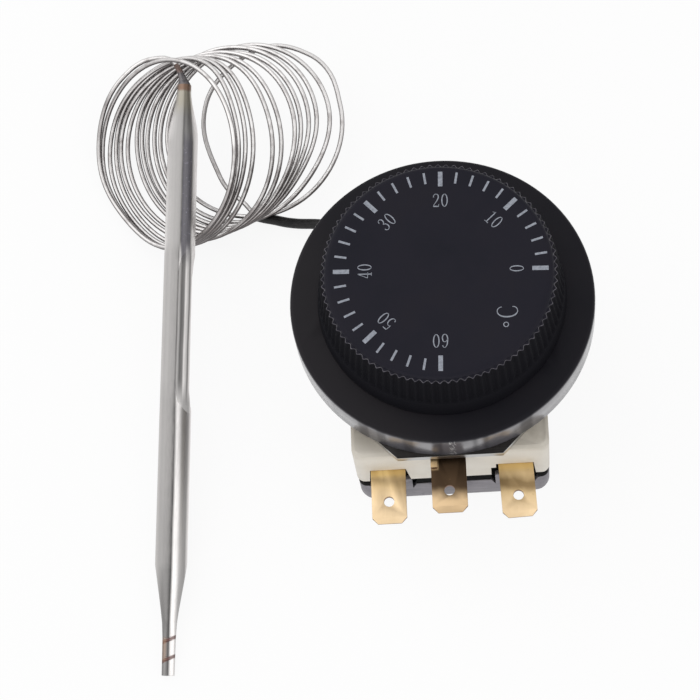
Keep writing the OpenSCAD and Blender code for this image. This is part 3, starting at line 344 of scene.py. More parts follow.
def makeKnob():
    # one profile turned round the axis: bore, hub, hollow, skirt, ridges and face. Each row is
    # (radius, height, ridge share, flat share, painted rim highlight); a ridge is a cosine that takes the
    # radius in by its depth, and the bore's flat lies towards +X
    k = knob
    flare = (k["footR"] - k["rimR"]) / (k["rim"] - k["foot"])

    def wallR(z):
        return k["footR"] - flare * (z - k["foot"])

    faceR = k["rimR"] - k["fluteDepth"] - k["browIn"]
    hollow = k["top"] - k["wall"]
    rows = [(0, k["boreTop"], 0, 1, 0), (k["boreR"], k["boreTop"], 0, 1, 0),
            (k["boreR"], k["hubFoot"], 0, 1, 0), (k["hubR"] - k["edge"], k["hubFoot"], 0, 0, 0),
            (k["hubR"], k["hubFoot"] + k["edge"], 0, 0, 0), (k["hubR"], hollow, 0, 0, 0),
            (k["rimR"] - k["wall"] - k["fluteDepth"], hollow, 0, 0, 0),
            (k["footR"] - k["wall"], k["foot"], 0, 0, 0), (k["footR"] - k["edge"], k["foot"], 0, 0, 0),
            (k["footR"] - 0.08, k["foot"] + 0.08, 0, 0, 0), (k["footR"], k["foot"] + k["edge"], 0, 0, 0),
            (wallR(k["fluteFoot"]) + 0.12, k["fluteFoot"] - 0.15, 0, 0, 0),
            (wallR(k["fluteFoot"]) + 0.05, k["fluteFoot"], 0, 0, 0)]
    for z in np.linspace(k["fluteFoot"] + 0.25, k["rim"] - 0.1, k["fluteRows"]):
        rows.append((wallR(z), z, 1, 0, 0))
    rows += [(k["rimR"], k["rim"] - 0.06, 1, 0, 0), (k["rimR"] - 0.02, k["rim"] - 0.02, 1, 0, 1),
             (k["rimR"] - 0.02 - k["rimLine"], k["rim"], 1, 0, 1),
             (k["rimR"] - 0.17, k["rim"] + 0.01, 1, 0, 0),
             (faceR + 0.1, k["rim"] + 0.03, 0.7, 0, 0), (faceR - 0.02, k["rim"] + 0.1, 0.15, 0, 0)]
    for a in np.radians(np.arange(15, 91, 12.5)):
        rows.append((faceR - (1 - math.cos(a)), k["rim"] + (k["top"] - k["rim"]) * math.sin(a), 0, 0, 0))
    for r in k["faceRings"]:
        rows.append((r, k["top"], 0, 0, 0))
    rows = np.array(rows)
    cols = k["ridges"] * k["perRidge"]
    a = fullTurn(cols)[None]
    ridge = 0.5 - 0.5 * np.cos(k["ridges"] * a)
    r = rows[:, :1] - k["fluteDepth"] * rows[:, 2:3] * ridge ** k["ridgePower"]
    flat = k["boreFlat"] / np.maximum(np.cos(a), k["flatSide"])
    r = np.where((rows[:, 3:4] > 0) & (np.cos(a) > k["flatSide"]), np.minimum(r, flat), r)
    z = np.broadcast_to(rows[:, 1:2], r.shape)
    points = np.stack([r * np.cos(a), r * np.sin(a), z], -1).reshape(-1, 3)
    faces = gridFaces(len(rows), cols)[:, ::-1]
    piece = meshPiece("knob_ridged", points, faces, "dial")
    # the rows' last column marks where the material paints the rim's pale painted highlight
    rimHighlight = piece.data.attributes.new("edgeWear", "FLOAT", "POINT")
    rimHighlight.data.foreach_set("value", np.repeat(rows[:, 4], cols))
    weldPoles(piece)
    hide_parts("knob")
    print("knob turned:", len(faces), "faces")
    return piece


dial = {
    "centre": (0.32, 0.03), "zeroAt": -2.4, "perTen": 45, "tens": 6, "minorPerTen": 5, "outer": 18.84,
    "majorInner": 16.0, "minorInner": 16.7, "majorW": 0.8, "minorW": 0.4, "markStep": 0.7,
    "proud": 0.025, "sunk": 0.02, "digitH": 2.55, "digitW": 1.2, "digitGap": 0.3, "digitR": 13.3,
    "unit": {"C": (13.4, -9.6, 90), "o": (11.2, -10.9, 90)},  # place in mm and turn in degrees
}
# strokes of each sign as (x, y, width) in mm, drawn upright in a box one digit wide and high
strokes = {
    "0": [[(0.6 + 0.47 * math.cos(a), 1.27 + 1.19 * math.sin(a), 0.09 + 0.11 * abs(math.cos(a)))
           for a in np.linspace(0.5 * math.pi, 2.5 * math.pi, 25)]],
    "1": [[(0.66, 0.05, 0.2), (0.66, 1.3, 0.19), (0.66, 2.5, 0.17)],
          [(0.62, 2.46, 0.1), (0.42, 2.26, 0.09), (0.2, 2.16, 0.07)],
          [(0.22, 0.05, 0.1), (0.66, 0.05, 0.1), (1.1, 0.05, 0.1)]],
    "2": [[(0.16, 1.86, 0.2), (0.17, 2.1, 0.13), (0.34, 2.4, 0.1), (0.62, 2.49, 0.1), (0.92, 2.32, 0.17),
           (1.01, 1.92, 0.2), (0.86, 1.42, 0.17), (0.5, 0.82, 0.12), (0.15, 0.25, 0.1), (0.1, 0.1, 0.1)],
          [(0.1, 0.12, 0.2), (0.6, 0.12, 0.22), (0.98, 0.12, 0.2), (1.08, 0.32, 0.1), (1.11, 0.55, 0.06)]],
    "3": [[(0.16, 2.0, 0.2), (0.22, 2.3, 0.11), (0.52, 2.49, 0.1), (0.86, 2.3, 0.17), (0.93, 1.95, 0.2),
           (0.8, 1.56, 0.14), (0.48, 1.37, 0.09)],
          [(0.48, 1.37, 0.09), (0.86, 1.18, 0.14), (1.03, 0.72, 0.2), (0.88, 0.22, 0.15), (0.52, 0.05, 0.1),
           (0.2, 0.2, 0.11), (0.12, 0.5, 0.2)]],
    "4": [[(0.8, 2.45, 0.12), (0.45, 1.6, 0.1), (0.08, 0.74, 0.09)],
          [(0.08, 0.7, 0.1), (0.6, 0.7, 0.1), (1.14, 0.7, 0.1)],
          [(0.82, 2.48, 0.16), (0.82, 1.3, 0.19), (0.82, 0.05, 0.19)],
          [(0.52, 0.05, 0.1), (0.82, 0.05, 0.1), (1.12, 0.05, 0.1)]],
    "5": [[(1.04, 2.44, 0.16), (0.7, 2.44, 0.16), (0.27, 2.44, 0.14)],
          [(0.27, 2.47, 0.1), (0.22, 1.95, 0.1), (0.17, 1.42, 0.1)],
          [(0.17, 1.42, 0.1), (0.45, 1.62, 0.1), (0.8, 1.5, 0.14), (1.02, 1.02, 0.2), (0.93, 0.4, 0.18),
           (0.6, 0.06, 0.1), (0.25, 0.14, 0.1), (0.13, 0.42, 0.2)]],
    "6": [[(0.98, 2.12, 0.2), (0.88, 2.4, 0.11), (0.6, 2.49, 0.1), (0.3, 2.12, 0.15), (0.15, 1.3, 0.2),
           (0.2, 0.5, 0.19), (0.45, 0.09, 0.12), (0.75, 0.09, 0.12), (1.0, 0.42, 0.18), (1.02, 0.95, 0.2),
           (0.84, 1.38, 0.13), (0.55, 1.45, 0.09), (0.28, 1.2, 0.1), (0.18, 0.9, 0.1)]],
    "C": [[(1.98, 2.75, 0.1), (1.92, 3.15, 0.14), (1.6, 3.5, 0.14), (1.1, 3.62, 0.13), (0.55, 3.3, 0.2),
           (0.2, 2.6, 0.24), (0.12, 1.85, 0.26), (0.2, 1.1, 0.24), (0.55, 0.4, 0.2), (1.1, 0.08, 0.13),
           (1.6, 0.2, 0.14), (1.92, 0.55, 0.14), (2.0, 0.95, 0.1)]],
    "o": [[(0.42 * math.cos(a), 0.42 * math.sin(a), 0.15) for a in np.linspace(0, 2 * math.pi, 17)]],
}


def strokeRibbon(stroke, step=0.08):
    # the stroke's centreline, moved half its width to each side in its own plane
    line = smoothCurve(stroke, step)
    d = np.gradient(line[:, :2], axis=0)
    d /= np.linalg.norm(d, axis=1)[:, None]
    side = np.stack([-d[:, 1], d[:, 0]], 1) * line[:, 2:3] / 2
    return np.stack([line[:, :2] + side, line[:, :2] - side], 1)


def slab(ribbon, x, y, turn, low, high):
    # a flat ribbon placed at (x, y) turned by an angle, and given a thickness: its four long edges
    c, s = math.cos(turn), math.sin(turn)
    flat = ribbon @ np.array([[c, s], [-s, c]]) + np.array([x, y])
    left, right = flat[:, 0], flat[:, 1]
    z = np.ones((len(flat), 1))
    return np.stack([np.hstack([left, z * high]), np.hstack([left, z * low]),
                     np.hstack([right, z * low]), np.hstack([right, z * high])], 1)


def makeDialPrint():
    # every stroke of the marks, the numbers and the unit is a thin slab that starts just under the face
    d = dial
    top, low = knob["top"] + d["proud"], knob["top"] - d["sunk"]
    ribbons, places = [], []
    for n in range(d["tens"] * d["minorPerTen"] + 1):
        a = math.radians(d["zeroAt"] + n * d["perTen"] / d["minorPerTen"])
        major = n % d["minorPerTen"] == 0
        inner = d["majorInner"] if major else d["minorInner"]
        width = d["majorW"] if major else d["minorW"]
        mark = [(x, 0, width) for x in (inner, 0.5 * (inner + d["outer"]), d["outer"])]
        ribbons.append(strokeRibbon(mark, d["markStep"]))
        places.append((*d["centre"], a))
    for n in range(d["tens"] + 1):
        a = math.radians(d["zeroAt"] + n * d["perTen"])
        label = str(10 * n)
        width = len(label) * d["digitW"] + (len(label) - 1) * d["digitGap"]
        turn = a - math.pi / 2
        for i, sign in enumerate(label):
            left = i * (d["digitW"] + d["digitGap"]) - width / 2
            for stroke in strokes[sign]:
                shifted = [(x + left, y + d["digitR"] - d["digitH"] / 2, w) for x, y, w in stroke]
                ribbons.append(strokeRibbon(shifted))
                places.append((*d["centre"], turn))
    for sign, (x, y, turn) in d["unit"].items():
        for stroke in strokes[sign]:
            ribbons.append(strokeRibbon(stroke))
            places.append((x, y, math.radians(turn)))
    points, faces, start = [], [], 0
    for ribbon, (x, y, turn) in zip(ribbons, places):
        loop = slab(ribbon, x, y, turn, low, top)
        n = len(loop)
        points.append(loop.reshape(-1, 3))
        faces += (gridFaces(n, 4) + start).tolist()
        faces += [[start + 3, start + 2, start + 1, start], [start + 4 * n - 4 + i for i in range(4)]]
        start += 4 * n
    piece = meshPiece("dial_print", np.concatenate(points), faces, "dial", smooth=False)
    print("dial printed:", len(ribbons), "strokes")
    return piece


knobPiece = makeKnob()
dialPrint = makeDialPrint()


# materials

class Field:
    # a socket whose operators add Math nodes
    def __init__(self, finish, socket):
        self.finish, self.socket = finish, socket

    def math(self, operation, *others):
        values = dict(enumerate((self,) + others))
        return self.finish.node("ShaderNodeMath", {"operation": operation}, values)

    def __add__(self, o): return self.math("ADD", o)
    def __sub__(self, o): return self.math("SUBTRACT", o)
    def __mul__(self, o): return self.math("MULTIPLY", o)
    def __truediv__(self, o): return self.math("DIVIDE", o)
    def __pow__(self, o): return self.math("POWER", o)
    def __neg__(self): return self.math("MULTIPLY", -1)
    def __rsub__(self, o): return (-self) + o
    __radd__, __rmul__ = __add__, __mul__

    def within(self, low, high, soft):
        # 1 between two levels, falling to 0 over a soft edge
        step = self.finish.step
        return step(self, low - soft, low + soft) * (1 - step(self, high - soft, high + soft))


class Finish:
    # a material whose nodes are written as expressions; x, y and z are the place on the object, in mm
    def __init__(self, name, **fixed):
        self.material = bpy.data.materials.new(name)
        self.material.use_nodes = True
        self.tree = self.material.node_tree
        self.shader = self.tree.nodes["Principled BSDF"]
        for key, value in fixed.items():
            self.shader.inputs[key.replace("_", " ")].default_value = value
        self.where = self.node("ShaderNodeTexCoord", {}, {}, "Object")
        parts = self.tree.nodes.new("ShaderNodeSeparateXYZ")
        self.tree.links.new(self.where.socket, parts.inputs[0])
        self.x, self.y, self.z = (Field(self, s) * 1000 for s in parts.outputs)

    def node(self, kind, settings, values, output=0):
        # any node: its settings first, then the values or links of its sockets
        node = self.tree.nodes.new(kind)
        for key, value in settings.items():
            if key == "stops":
                while len(node.color_ramp.elements) < len(value):
                    node.color_ramp.elements.new(0.5)
                for element, (place, colour) in zip(node.color_ramp.elements, value):
                    element.position = place
                    element.color = (*colour, 1)
            else:
                setattr(node, key, value)
        for key, value in values.items():
            if isinstance(value, Field):
                self.tree.links.new(value.socket, node.inputs[key])
            else:
                node.inputs[key].default_value = value
        return Field(self, node.outputs[output])

    def step(self, value, low, high):
        # 0 below one level, 1 above the other, and smooth between
        return self.node("ShaderNodeMapRange", {"interpolation_type": "SMOOTHSTEP"},
                         {"Value": value, "From Min": low, "From Max": high})

    def noise(self, size, detail=3.0, stretch=(1, 1, 1), turn=(0, 0, 0), rough=0.55):
        # size of a patch in mm, longer where stretch is above 1
        scale = [1000 / (size * s) for s in stretch]
        turned = {"Vector": self.where, "Rotation": [math.radians(a) for a in turn]}
        at = self.node("ShaderNodeMapping", {}, turned)
        at = self.node("ShaderNodeVectorMath", {"operation": "MULTIPLY"}, {0: at, 1: scale})
        return self.node("ShaderNodeTexNoise", {},
                         {"Vector": at, "Scale": 1.0, "Detail": detail, "Roughness": rough}, "Fac")

    def ramp(self, value, stops):
        return self.node("ShaderNodeValToRGB", {"stops": stops}, {"Fac": value}, "Color")

    def blend(self, share, one, two):
        # the first colour where the share is 0, the second where it is 1
        one, two = ((*c, 1) if isinstance(c, tuple) else c for c in (one, two))
        return self.node("ShaderNodeMix", {"data_type": "RGBA"}, {"Factor": share, 6: one, 7: two}, 2)

    def normal(self, axis):
        # one component of the surface's direction, in the object's own axes
        turned = self.node("ShaderNodeTexCoord", {}, {}, "Normal")
        return self.node("ShaderNodeSeparateXYZ", {}, {0: turned}, axis)

    def bump(self, height, depth, strength=1.0):
        # depth in mm that a height of 1 stands for
        return self.node("ShaderNodeBump", {},
                         {"Height": height, "Strength": strength, "Distance": depth * mm})

    def feed(self, **links):
        for key, value in links.items():
            self.tree.links.new(value.socket, self.shader.inputs[key.replace("_", " ")])
        return self.material


def bulbPlace(f):
    # distance along the bulb from its tail, and across it to the right, in mm
    base, axis = bulbAxis()
    level = np.cross(axis, [0, 0, 1])
    level /= np.linalg.norm(level)
    roll = math.radians(bulbLine["roll"])
    right = math.cos(roll) * level - math.sin(roll) * np.cross(level, axis)
    offset = f.node("ShaderNodeVectorMath", {"operation": "SUBTRACT"}, {0: f.where, 1: base * mm})
    return [f.node("ShaderNodeVectorMath", {"operation": "DOT_PRODUCT"}, {0: offset, 1: way * 1000}, "Value")
            for way in (axis, right)]


# looks: colours are linear red, green and blue, a list of them is a ramp as (place, colour), sizes are in mm

knobBlack = {
    "face": [(0.3, (0.0105, 0.0106, 0.0165)), (0.5, (0.0128, 0.0122, 0.0188)),
             (0.7, (0.0142, 0.0132, 0.0190))],
    "skirt": (0.0018, 0.0018, 0.0028), "paintedLight": (0.19, 0.178, 0.20),
    "cloud": 9, "grain": 0.22, "grainDepth": 0.012, "rough": 0.42,
}


def knobFinish():
    # moulded black: cloudy on the face, the skirt painted darker as painted shade, a pale painted highlight
    # along the rim
    look = knobBlack
    f = Finish("knob black", Specular_IOR_Level=0.08)
    cloud = f.noise(look["cloud"], 4)
    grain = f.noise(look["grain"], 2)
    rimHighlight = f.node("ShaderNodeAttribute", {"attribute_name": "edgeWear"}, {}, "Fac")
    body = f.ramp(cloud, look["face"])
    # painted shade: the skirt and flutes below the rim are painted darker, and are also rougher
    skirt = 1 - f.step(f.z, knob["rim"] - 0.3, knob["rim"])
    colour = f.blend(skirt * 0.8, body, look["skirt"])
    # painted highlight: a pale broken line along the rim edge
    paintedLight = rimHighlight * (0.45 + 0.55 * f.step(f.noise(0.7, 2), 0.42, 0.62))
    colour = f.blend(paintedLight * 0.8, colour, look["paintedLight"])
    return f.feed(Base_Color=colour, Roughness=look["rough"] + 0.14 * cloud + 0.25 * skirt,
                  Normal=f.bump(grain, look["grainDepth"], 0.6))


inkGrey = {"ink": [(0.3, (0.21, 0.225, 0.265)), (0.6, (0.33, 0.35, 0.40))], "patch": 0.5, "rough": 0.55}


def printFinish():
    # blue grey ink, thinner in patches
    look = inkGrey
    f = Finish("dial print", Roughness=look["rough"], Specular_IOR_Level=0.2)
    patch = f.noise(look["patch"], 3)
    colour = f.ramp(patch, look["ink"])
    return f.feed(Base_Color=colour, Normal=f.bump(patch, 0.01, 0.5))


bezelBlack = {
    "top": [(0.3, (0.0045, 0.0043, 0.0075)), (0.7, (0.0072, 0.0064, 0.0095))],
    # left is painted light on the bezel's left part, and wall is the pale painted reflection on the turned
    # wall
    "left": (0.0125, 0.0110, 0.0135), "wall": (0.125, 0.121, 0.134), "scratch": (0.55, 0.55, 0.55),
    "cloud": 7, "rough": 0.42,
    # painted dark reflections on the front of the wall, as (x, half its width)
    "paintedDarkReflections": [(-15, 0.9), (-11.9, 0.8), (-7.2, 0.9), (-2.1, 0.9), (4.6, 0.4), (6.5, 0.5), (13.8, 1.1)],
}


def bezelFinish():
    # matte on top; the glossy turned wall carries a pale painted reflection, darker painted reflections and
    # scratches at the front
    look = bezelBlack
    f = Finish("bezel black", Specular_IOR_Level=0.12, Coat_IOR=1.8, Coat_Roughness=0.24)
    side = 1 - f.step(f.z, 33.8, 34.4)
    cloud = f.noise(look["cloud"], 4)
    cloudy = f.step(f.noise(3.2, 2, (1, 1, 9)) + 0.12 * f.noise(0.9, 2, (1, 1, 6)), 0.4, 0.6)
    front = 1 - f.step(f.y, -12, -6)
    patch = sum(f.x.within(x - half, x + half, 0.4) for x, half in look["paintedDarkReflections"])
    # painted reflection: pale in clouds on the wall, darker at the front where the patches stand for
    # reflected dark parts
    paintedReflectionAndCoat = (1 - front) * cloudy + front * (1 - 0.8 * patch) * (0.75 + 0.25 * cloudy)
    scratch = f.x.within(0.0, 1.2, 0.15) * f.step(f.noise(0.2, 1, (1, 1, 7), (0, 14, 0)), 0.52, 0.6)
    scratch = scratch * (1 - f.step(f.y, -20, -19))
    body = f.ramp(cloud, look["top"])
    # painted light: the bezel is painted a little paler towards its left
    body = f.blend(1 - f.step(f.x + 0.5 * f.y, -22, -8), body, look["left"])
    # painted reflection: the wall's pale grey
    reflectionGrey = f.blend(side * (0.3 + 0.7 * paintedReflectionAndCoat), body, look["wall"])
    colour = f.blend(side * scratch * 0.8, reflectionGrey, look["scratch"])
    return f.feed(Base_Color=colour, Roughness=look["rough"] - 0.12 * side + 0.1 * cloud,
                  Coat_Weight=side * (0.25 + 0.55 * paintedReflectionAndCoat), Normal=f.bump(f.noise(0.3, 2), 0.006, 0.5))


ceramicCream = {
    "body": [(0.25, (0.54, 0.50, 0.43)), (0.5, (0.63, 0.59, 0.52)), (0.75, (0.68, 0.64, 0.57))],
    # shade is painted shade beside the bezel, and foot is painted light lower down
    "grime": (0.40, 0.35, 0.27), "shade": (0.30, 0.265, 0.215), "foot": (0.80, 0.765, 0.70),
    "speck": (0.32, 0.28, 0.23), "cloud": 6, "rough": 0.5,
}


def ceramicFinish():
    # fired cream with grime in patches and specks, painted shade on its top beside the bezel, painted light
    # paler at its foot
    look = ceramicCream
    f = Finish("cream ceramic", Specular_IOR_Level=0.3)
    cloud = f.noise(look["cloud"], 5)
    speck = f.step(f.noise(0.45, 2, rough=0.7), 0.72, 0.8)
    body = f.ramp(cloud, look["body"])
    grimeAndPaintedLight = f.blend(f.step(f.noise(3.5, 5), 0.55, 0.8) * 0.35, body, look["grime"])
    fromAxis = (f.x * f.x + f.y * f.y) ** 0.5
    # painted shade on the top beside the bezel
    shaded = (1 - f.step(fromAxis, 27.5, 32)) * f.step(f.z, 25.2, 26.2)
    grimeAndPaintedLight = f.blend(shaded * 0.5, grimeAndPaintedLight, look["shade"])
    # painted light: paler at the foot
    grimeAndPaintedLight = f.blend((1 - f.step(f.z, 23.5, 25.5)) * 0.5, grimeAndPaintedLight, look["foot"])
    colour = f.blend(speck * 0.45, grimeAndPaintedLight, look["speck"])
    return f.feed(Base_Color=colour, Roughness=look["rough"] + 0.25 * cloud,
                  Normal=f.bump(f.noise(0.35, 4, rough=0.7) + 0.5 * f.noise(2.5, 2), 0.05, 0.5))


boardBlack = {"fibres": [(0.3, (0.0015, 0.0015, 0.002)), (0.7, (0.0035, 0.003, 0.003))], "rough": 0.65}


def boardFinish():
    # pressed board, nearly black, its fibres running across
    look = boardBlack
    f = Finish("black board", Specular_IOR_Level=0.04)
    fibre = f.noise(0.3, 4, (8, 1, 1), (0, 0, 12))
    colour = f.ramp(fibre, look["fibres"])
    return f.feed(Base_Color=colour, Roughness=look["rough"] + 0.3 * fibre, Normal=f.bump(fibre, 0.02, 0.6))


plateGrey = {
    "face": [(0.35, (0.011, 0.010, 0.010)), (0.65, (0.030, 0.028, 0.027))], "paintedEdgeHighlight": (0.46, 0.46, 0.455),
    "rough": 0.24,
}


def plateFinish():
    # the bracket: dull dark face, its cut edges painted pale as a painted highlight
    look = plateGrey
    f = Finish("bracket plate", Metallic=1.0)
    cloud = f.noise(4, 4)
    streak = f.noise(0.25, 4, (30, 1, 1))
    face = f.ramp(0.5 * cloud + 0.5 * streak, look["face"])
    # painted highlight: faces that turn away from level are painted pale
    paintedEdgeHighlight = 1 - f.step(f.normal("Z").math("ABSOLUTE"), 0.55, 0.9)
    colour = f.blend(paintedEdgeHighlight, face, look["paintedEdgeHighlight"])
    return f.feed(Base_Color=colour, Roughness=look["rough"] + 0.16 * cloud,
                  Normal=f.bump(streak, 0.006, 0.5))


def steelFinish(name, low, high, rough, streakTurn, stain, shade):
    # rolled and plated sheet: fine streaks one way, cloudy tone, and darker blotches here and there
    f = Finish(name, Metallic=1.0)
    streak = f.noise(0.25, 4, (30, 1, 1), streakTurn)
    cloud = f.noise(5, 4)
    body = f.ramp(0.5 * streak + 0.5 * cloud, [(0.35, low), (0.65, high)])
    blotch = f.step(f.noise(2.4, 5), 0.58, 0.72) * stain
    colour = f.blend(blotch, body, shade)
    return f.feed(Base_Color=colour, Roughness=rough + 0.18 * cloud + 0.1 * streak,
                  Normal=f.bump(streak, 0.006, 0.6))


brassSheet = {
    "tip": [(0.34, (0.68, 0.505, 0.305)), (0.66, (0.80, 0.62, 0.395))],
    "root": [(0.34, (0.56, 0.41, 0.215)), (0.66, (0.64, 0.475, 0.265))],
    # inner is the centre tab's painted reflection of the bezel
    "paintedBendHighlight": (0.78, 0.56, 0.225), "inner": (0.42, 0.285, 0.155), "paintedBezelReflection": (0.030, 0.016, 0.010),
    "tarnishAndPaintedReflection": (0.18, 0.115, 0.05), "cut": (0.20, 0.11, 0.07), "spots": (0.27, 0.17, 0.08), "rough": 0.34,
}


def brassFinish():
    # the terminals' sheet: pinkish gold blades darker at the root, with painted highlights, painted
    # reflections and painted shade
    look = brassSheet
    f = Finish("brass", Metallic=1.0)
    streak = f.noise(0.2, 4, (1, 24, 1))
    cloud = f.noise(5, 3)
    tip = f.ramp(0.2 * streak + 0.8 * cloud, look["tip"])
    root = f.ramp(cloud, look["root"])
    ragged = f.y + 1.5 * (f.noise(2.6, 2) - 0.5) + 0.12 * f.x
    colour = f.blend(f.step(ragged, -34.5, -29.5), tip, root)
    sides = 1 - f.x.within(-4.2, 3.2, 0.3)
    # painted highlight: yellow across the outer tabs' bends
    colour = f.blend(f.step(f.y, -28.2, -26.8) * sides * 0.8, colour, look["paintedBendHighlight"])
    # painted reflection of the dark bezel: the centre tab browner, and nearly black towards its root
    outside = 1 - f.step(f.y, -24, -21)
    colour = f.blend((1 - sides) * outside * 0.6, colour, look["inner"])
    centre = f.x.within(-4.0, 3.2, 0.3) * f.step(ragged, -35.2, -32.2) * outside
    ear = f.x.within(-4.2, -2.3, 0.2) * f.step(f.y, -29.4, -28.6)
    colour = f.blend(centre * (1 - ear) * 0.94, colour, look["paintedBezelReflection"])
    # painted reflection of the bezel: brown bands across the outer tabs
    right = f.x.within(7.5, 16, 0.3) * (ragged - 1.3).within(-31.2, -28.9, 0.9)
    left = f.x.within(-16, -7.5, 0.3) * (ragged + 1.4).within(-29.0, -27.7, 0.7)
    colour = f.blend(right * 0.78 + left * 0.35, colour, look["tarnishAndPaintedReflection"])
    # painted shade on the tabs' side faces
    cut = 1 - f.step(f.normal("Z").math("ABSOLUTE"), 0.5, 0.95)
    colour = f.blend(cut * (1 - f.step(f.y, -29, -27)) * 0.85, colour, look["cut"])
    colour = f.blend(f.step(f.noise(0.8, 4), 0.66, 0.76) * 0.2, colour, look["spots"])
    return f.feed(Base_Color=colour, Roughness=look["rough"] + 0.14 * cloud + 0.05 * streak,
                  Normal=f.bump(streak, 0.003, 0.4))


wireSteel = {
    # body and paintedLight run from painted shade on the flanks to painted light on top
    "body": [(0.0, (0.125, 0.113, 0.113)), (0.4, (0.25, 0.235, 0.232)), (0.75, (0.43, 0.41, 0.405)),
             (1.0, (0.56, 0.545, 0.54))],
    "paintedLight": [(0.0, (0.062, 0.053, 0.052)), (0.5, (0.15, 0.137, 0.135)), (0.8, (0.34, 0.32, 0.315)),
               (1.0, (0.86, 0.85, 0.84))],
    "paintedSheen": (0.74, 0.725, 0.72), "tarnishAndPaintedReflection": (0.19, 0.165, 0.16), "glint": (0.80, 0.79, 0.78), "rough": 0.3,
}


def wireFinish():
    # drawn capillary with tarnish in patches: painted light pales its upper side, painted shade darkens its
    # flanks;
    # painted reflection pales the far tops and low left ends; stronger painted shade and highlights low on
    # the right
    look = wireSteel
    f = Finish("drawn steel", Metallic=1.0)
    facing = f.normal("Z")
    cloud = f.noise(4, 4)
    # painted light: paler where the wire faces up, painted shade on its flanks
    paintedLightTone = f.step(facing + 0.5 * (cloud - 0.5), 0.25, 1.0)
    body = f.ramp(paintedLightTone, look["body"])
    paintedLight = f.ramp(paintedLightTone, look["paintedLight"])
    # painted shade and highlights, stronger low on the right
    body = f.blend(f.step(f.x, -50, -40) * (1 - f.step(f.y, 36, 52)) * 0.75, body, paintedLight)
    # painted reflection: paler tops on the far side and low on the left
    paintedSheen = f.step(f.y + 0.2 * f.x, 42, 50) + (1 - f.step(f.y, 27, 34)) * (1 - f.step(f.x, -52, -42))
    body = f.blend(paintedSheen * f.step(facing, 0.1, 0.7) * 0.4, body, look["paintedSheen"])
    colour = f.blend(f.step(f.noise(2.2, 4), 0.5, 0.7) * 0.4, body, look["tarnishAndPaintedReflection"])
    # painted highlight: glints on top
    glint = f.step(f.noise(6, 3), 0.56, 0.7) * f.step(facing, 0.5, 0.9)
    colour = f.blend(glint * 0.5, colour, look["glint"])
    return f.feed(Base_Color=colour, Roughness=look["rough"] + 0.16 * cloud,
                  Normal=f.bump(f.noise(0.15, 2), 0.003, 0.4))


# painted reflection bands across the bulb from its left edge, 0, to its right, 1, as (place, grey): between
# the neck and the pressed flat, along the flat, and below it; the flat begins and ends over these stretches
# along the bulb
bulbSteel = {
    "upper": [(0.0, 0.85), (0.1, 0.54), (0.2, 0.33), (0.3, 0.27), (0.47, 0.29), (0.52, 0.09), (0.6, 0.22),
              (0.74, 0.13), (0.82, 0.16), (0.88, 0.85), (1.0, 0.85)],
    "middle": [(0.0, 0.6), (0.1, 0.46), (0.25, 0.26), (0.43, 0.23), (0.465, 0.13), (0.52, 0.6), (0.59, 0.13),
               (0.68, 0.24), (0.72, 0.9), (0.79, 0.66), (0.845, 0.13), (0.89, 0.75)],
    "low": [(0.0, 0.6), (0.1, 0.43), (0.24, 0.25), (0.4, 0.2), (0.49, 0.07), (0.56, 0.83), (0.65, 0.74),
            (0.74, 0.4), (0.86, 0.34), (0.91, 0.3), (1.0, 0.9)],
    "flatFrom": (50, 56), "flatTo": (79.5, 82.5),
    "dull": (0.36, 0.345, 0.335), "paintedBlue": (0.092, 0.088, 0.112), "flecks": (0.30, 0.29, 0.36),
    "straw": (0.30, 0.27, 0.19), "burnt": (0.17, 0.095, 0.065), "marks": (0.11, 0.055, 0.05),
    "tint": (0.28, 0.18, 0.12), "rough": 0.34,
}


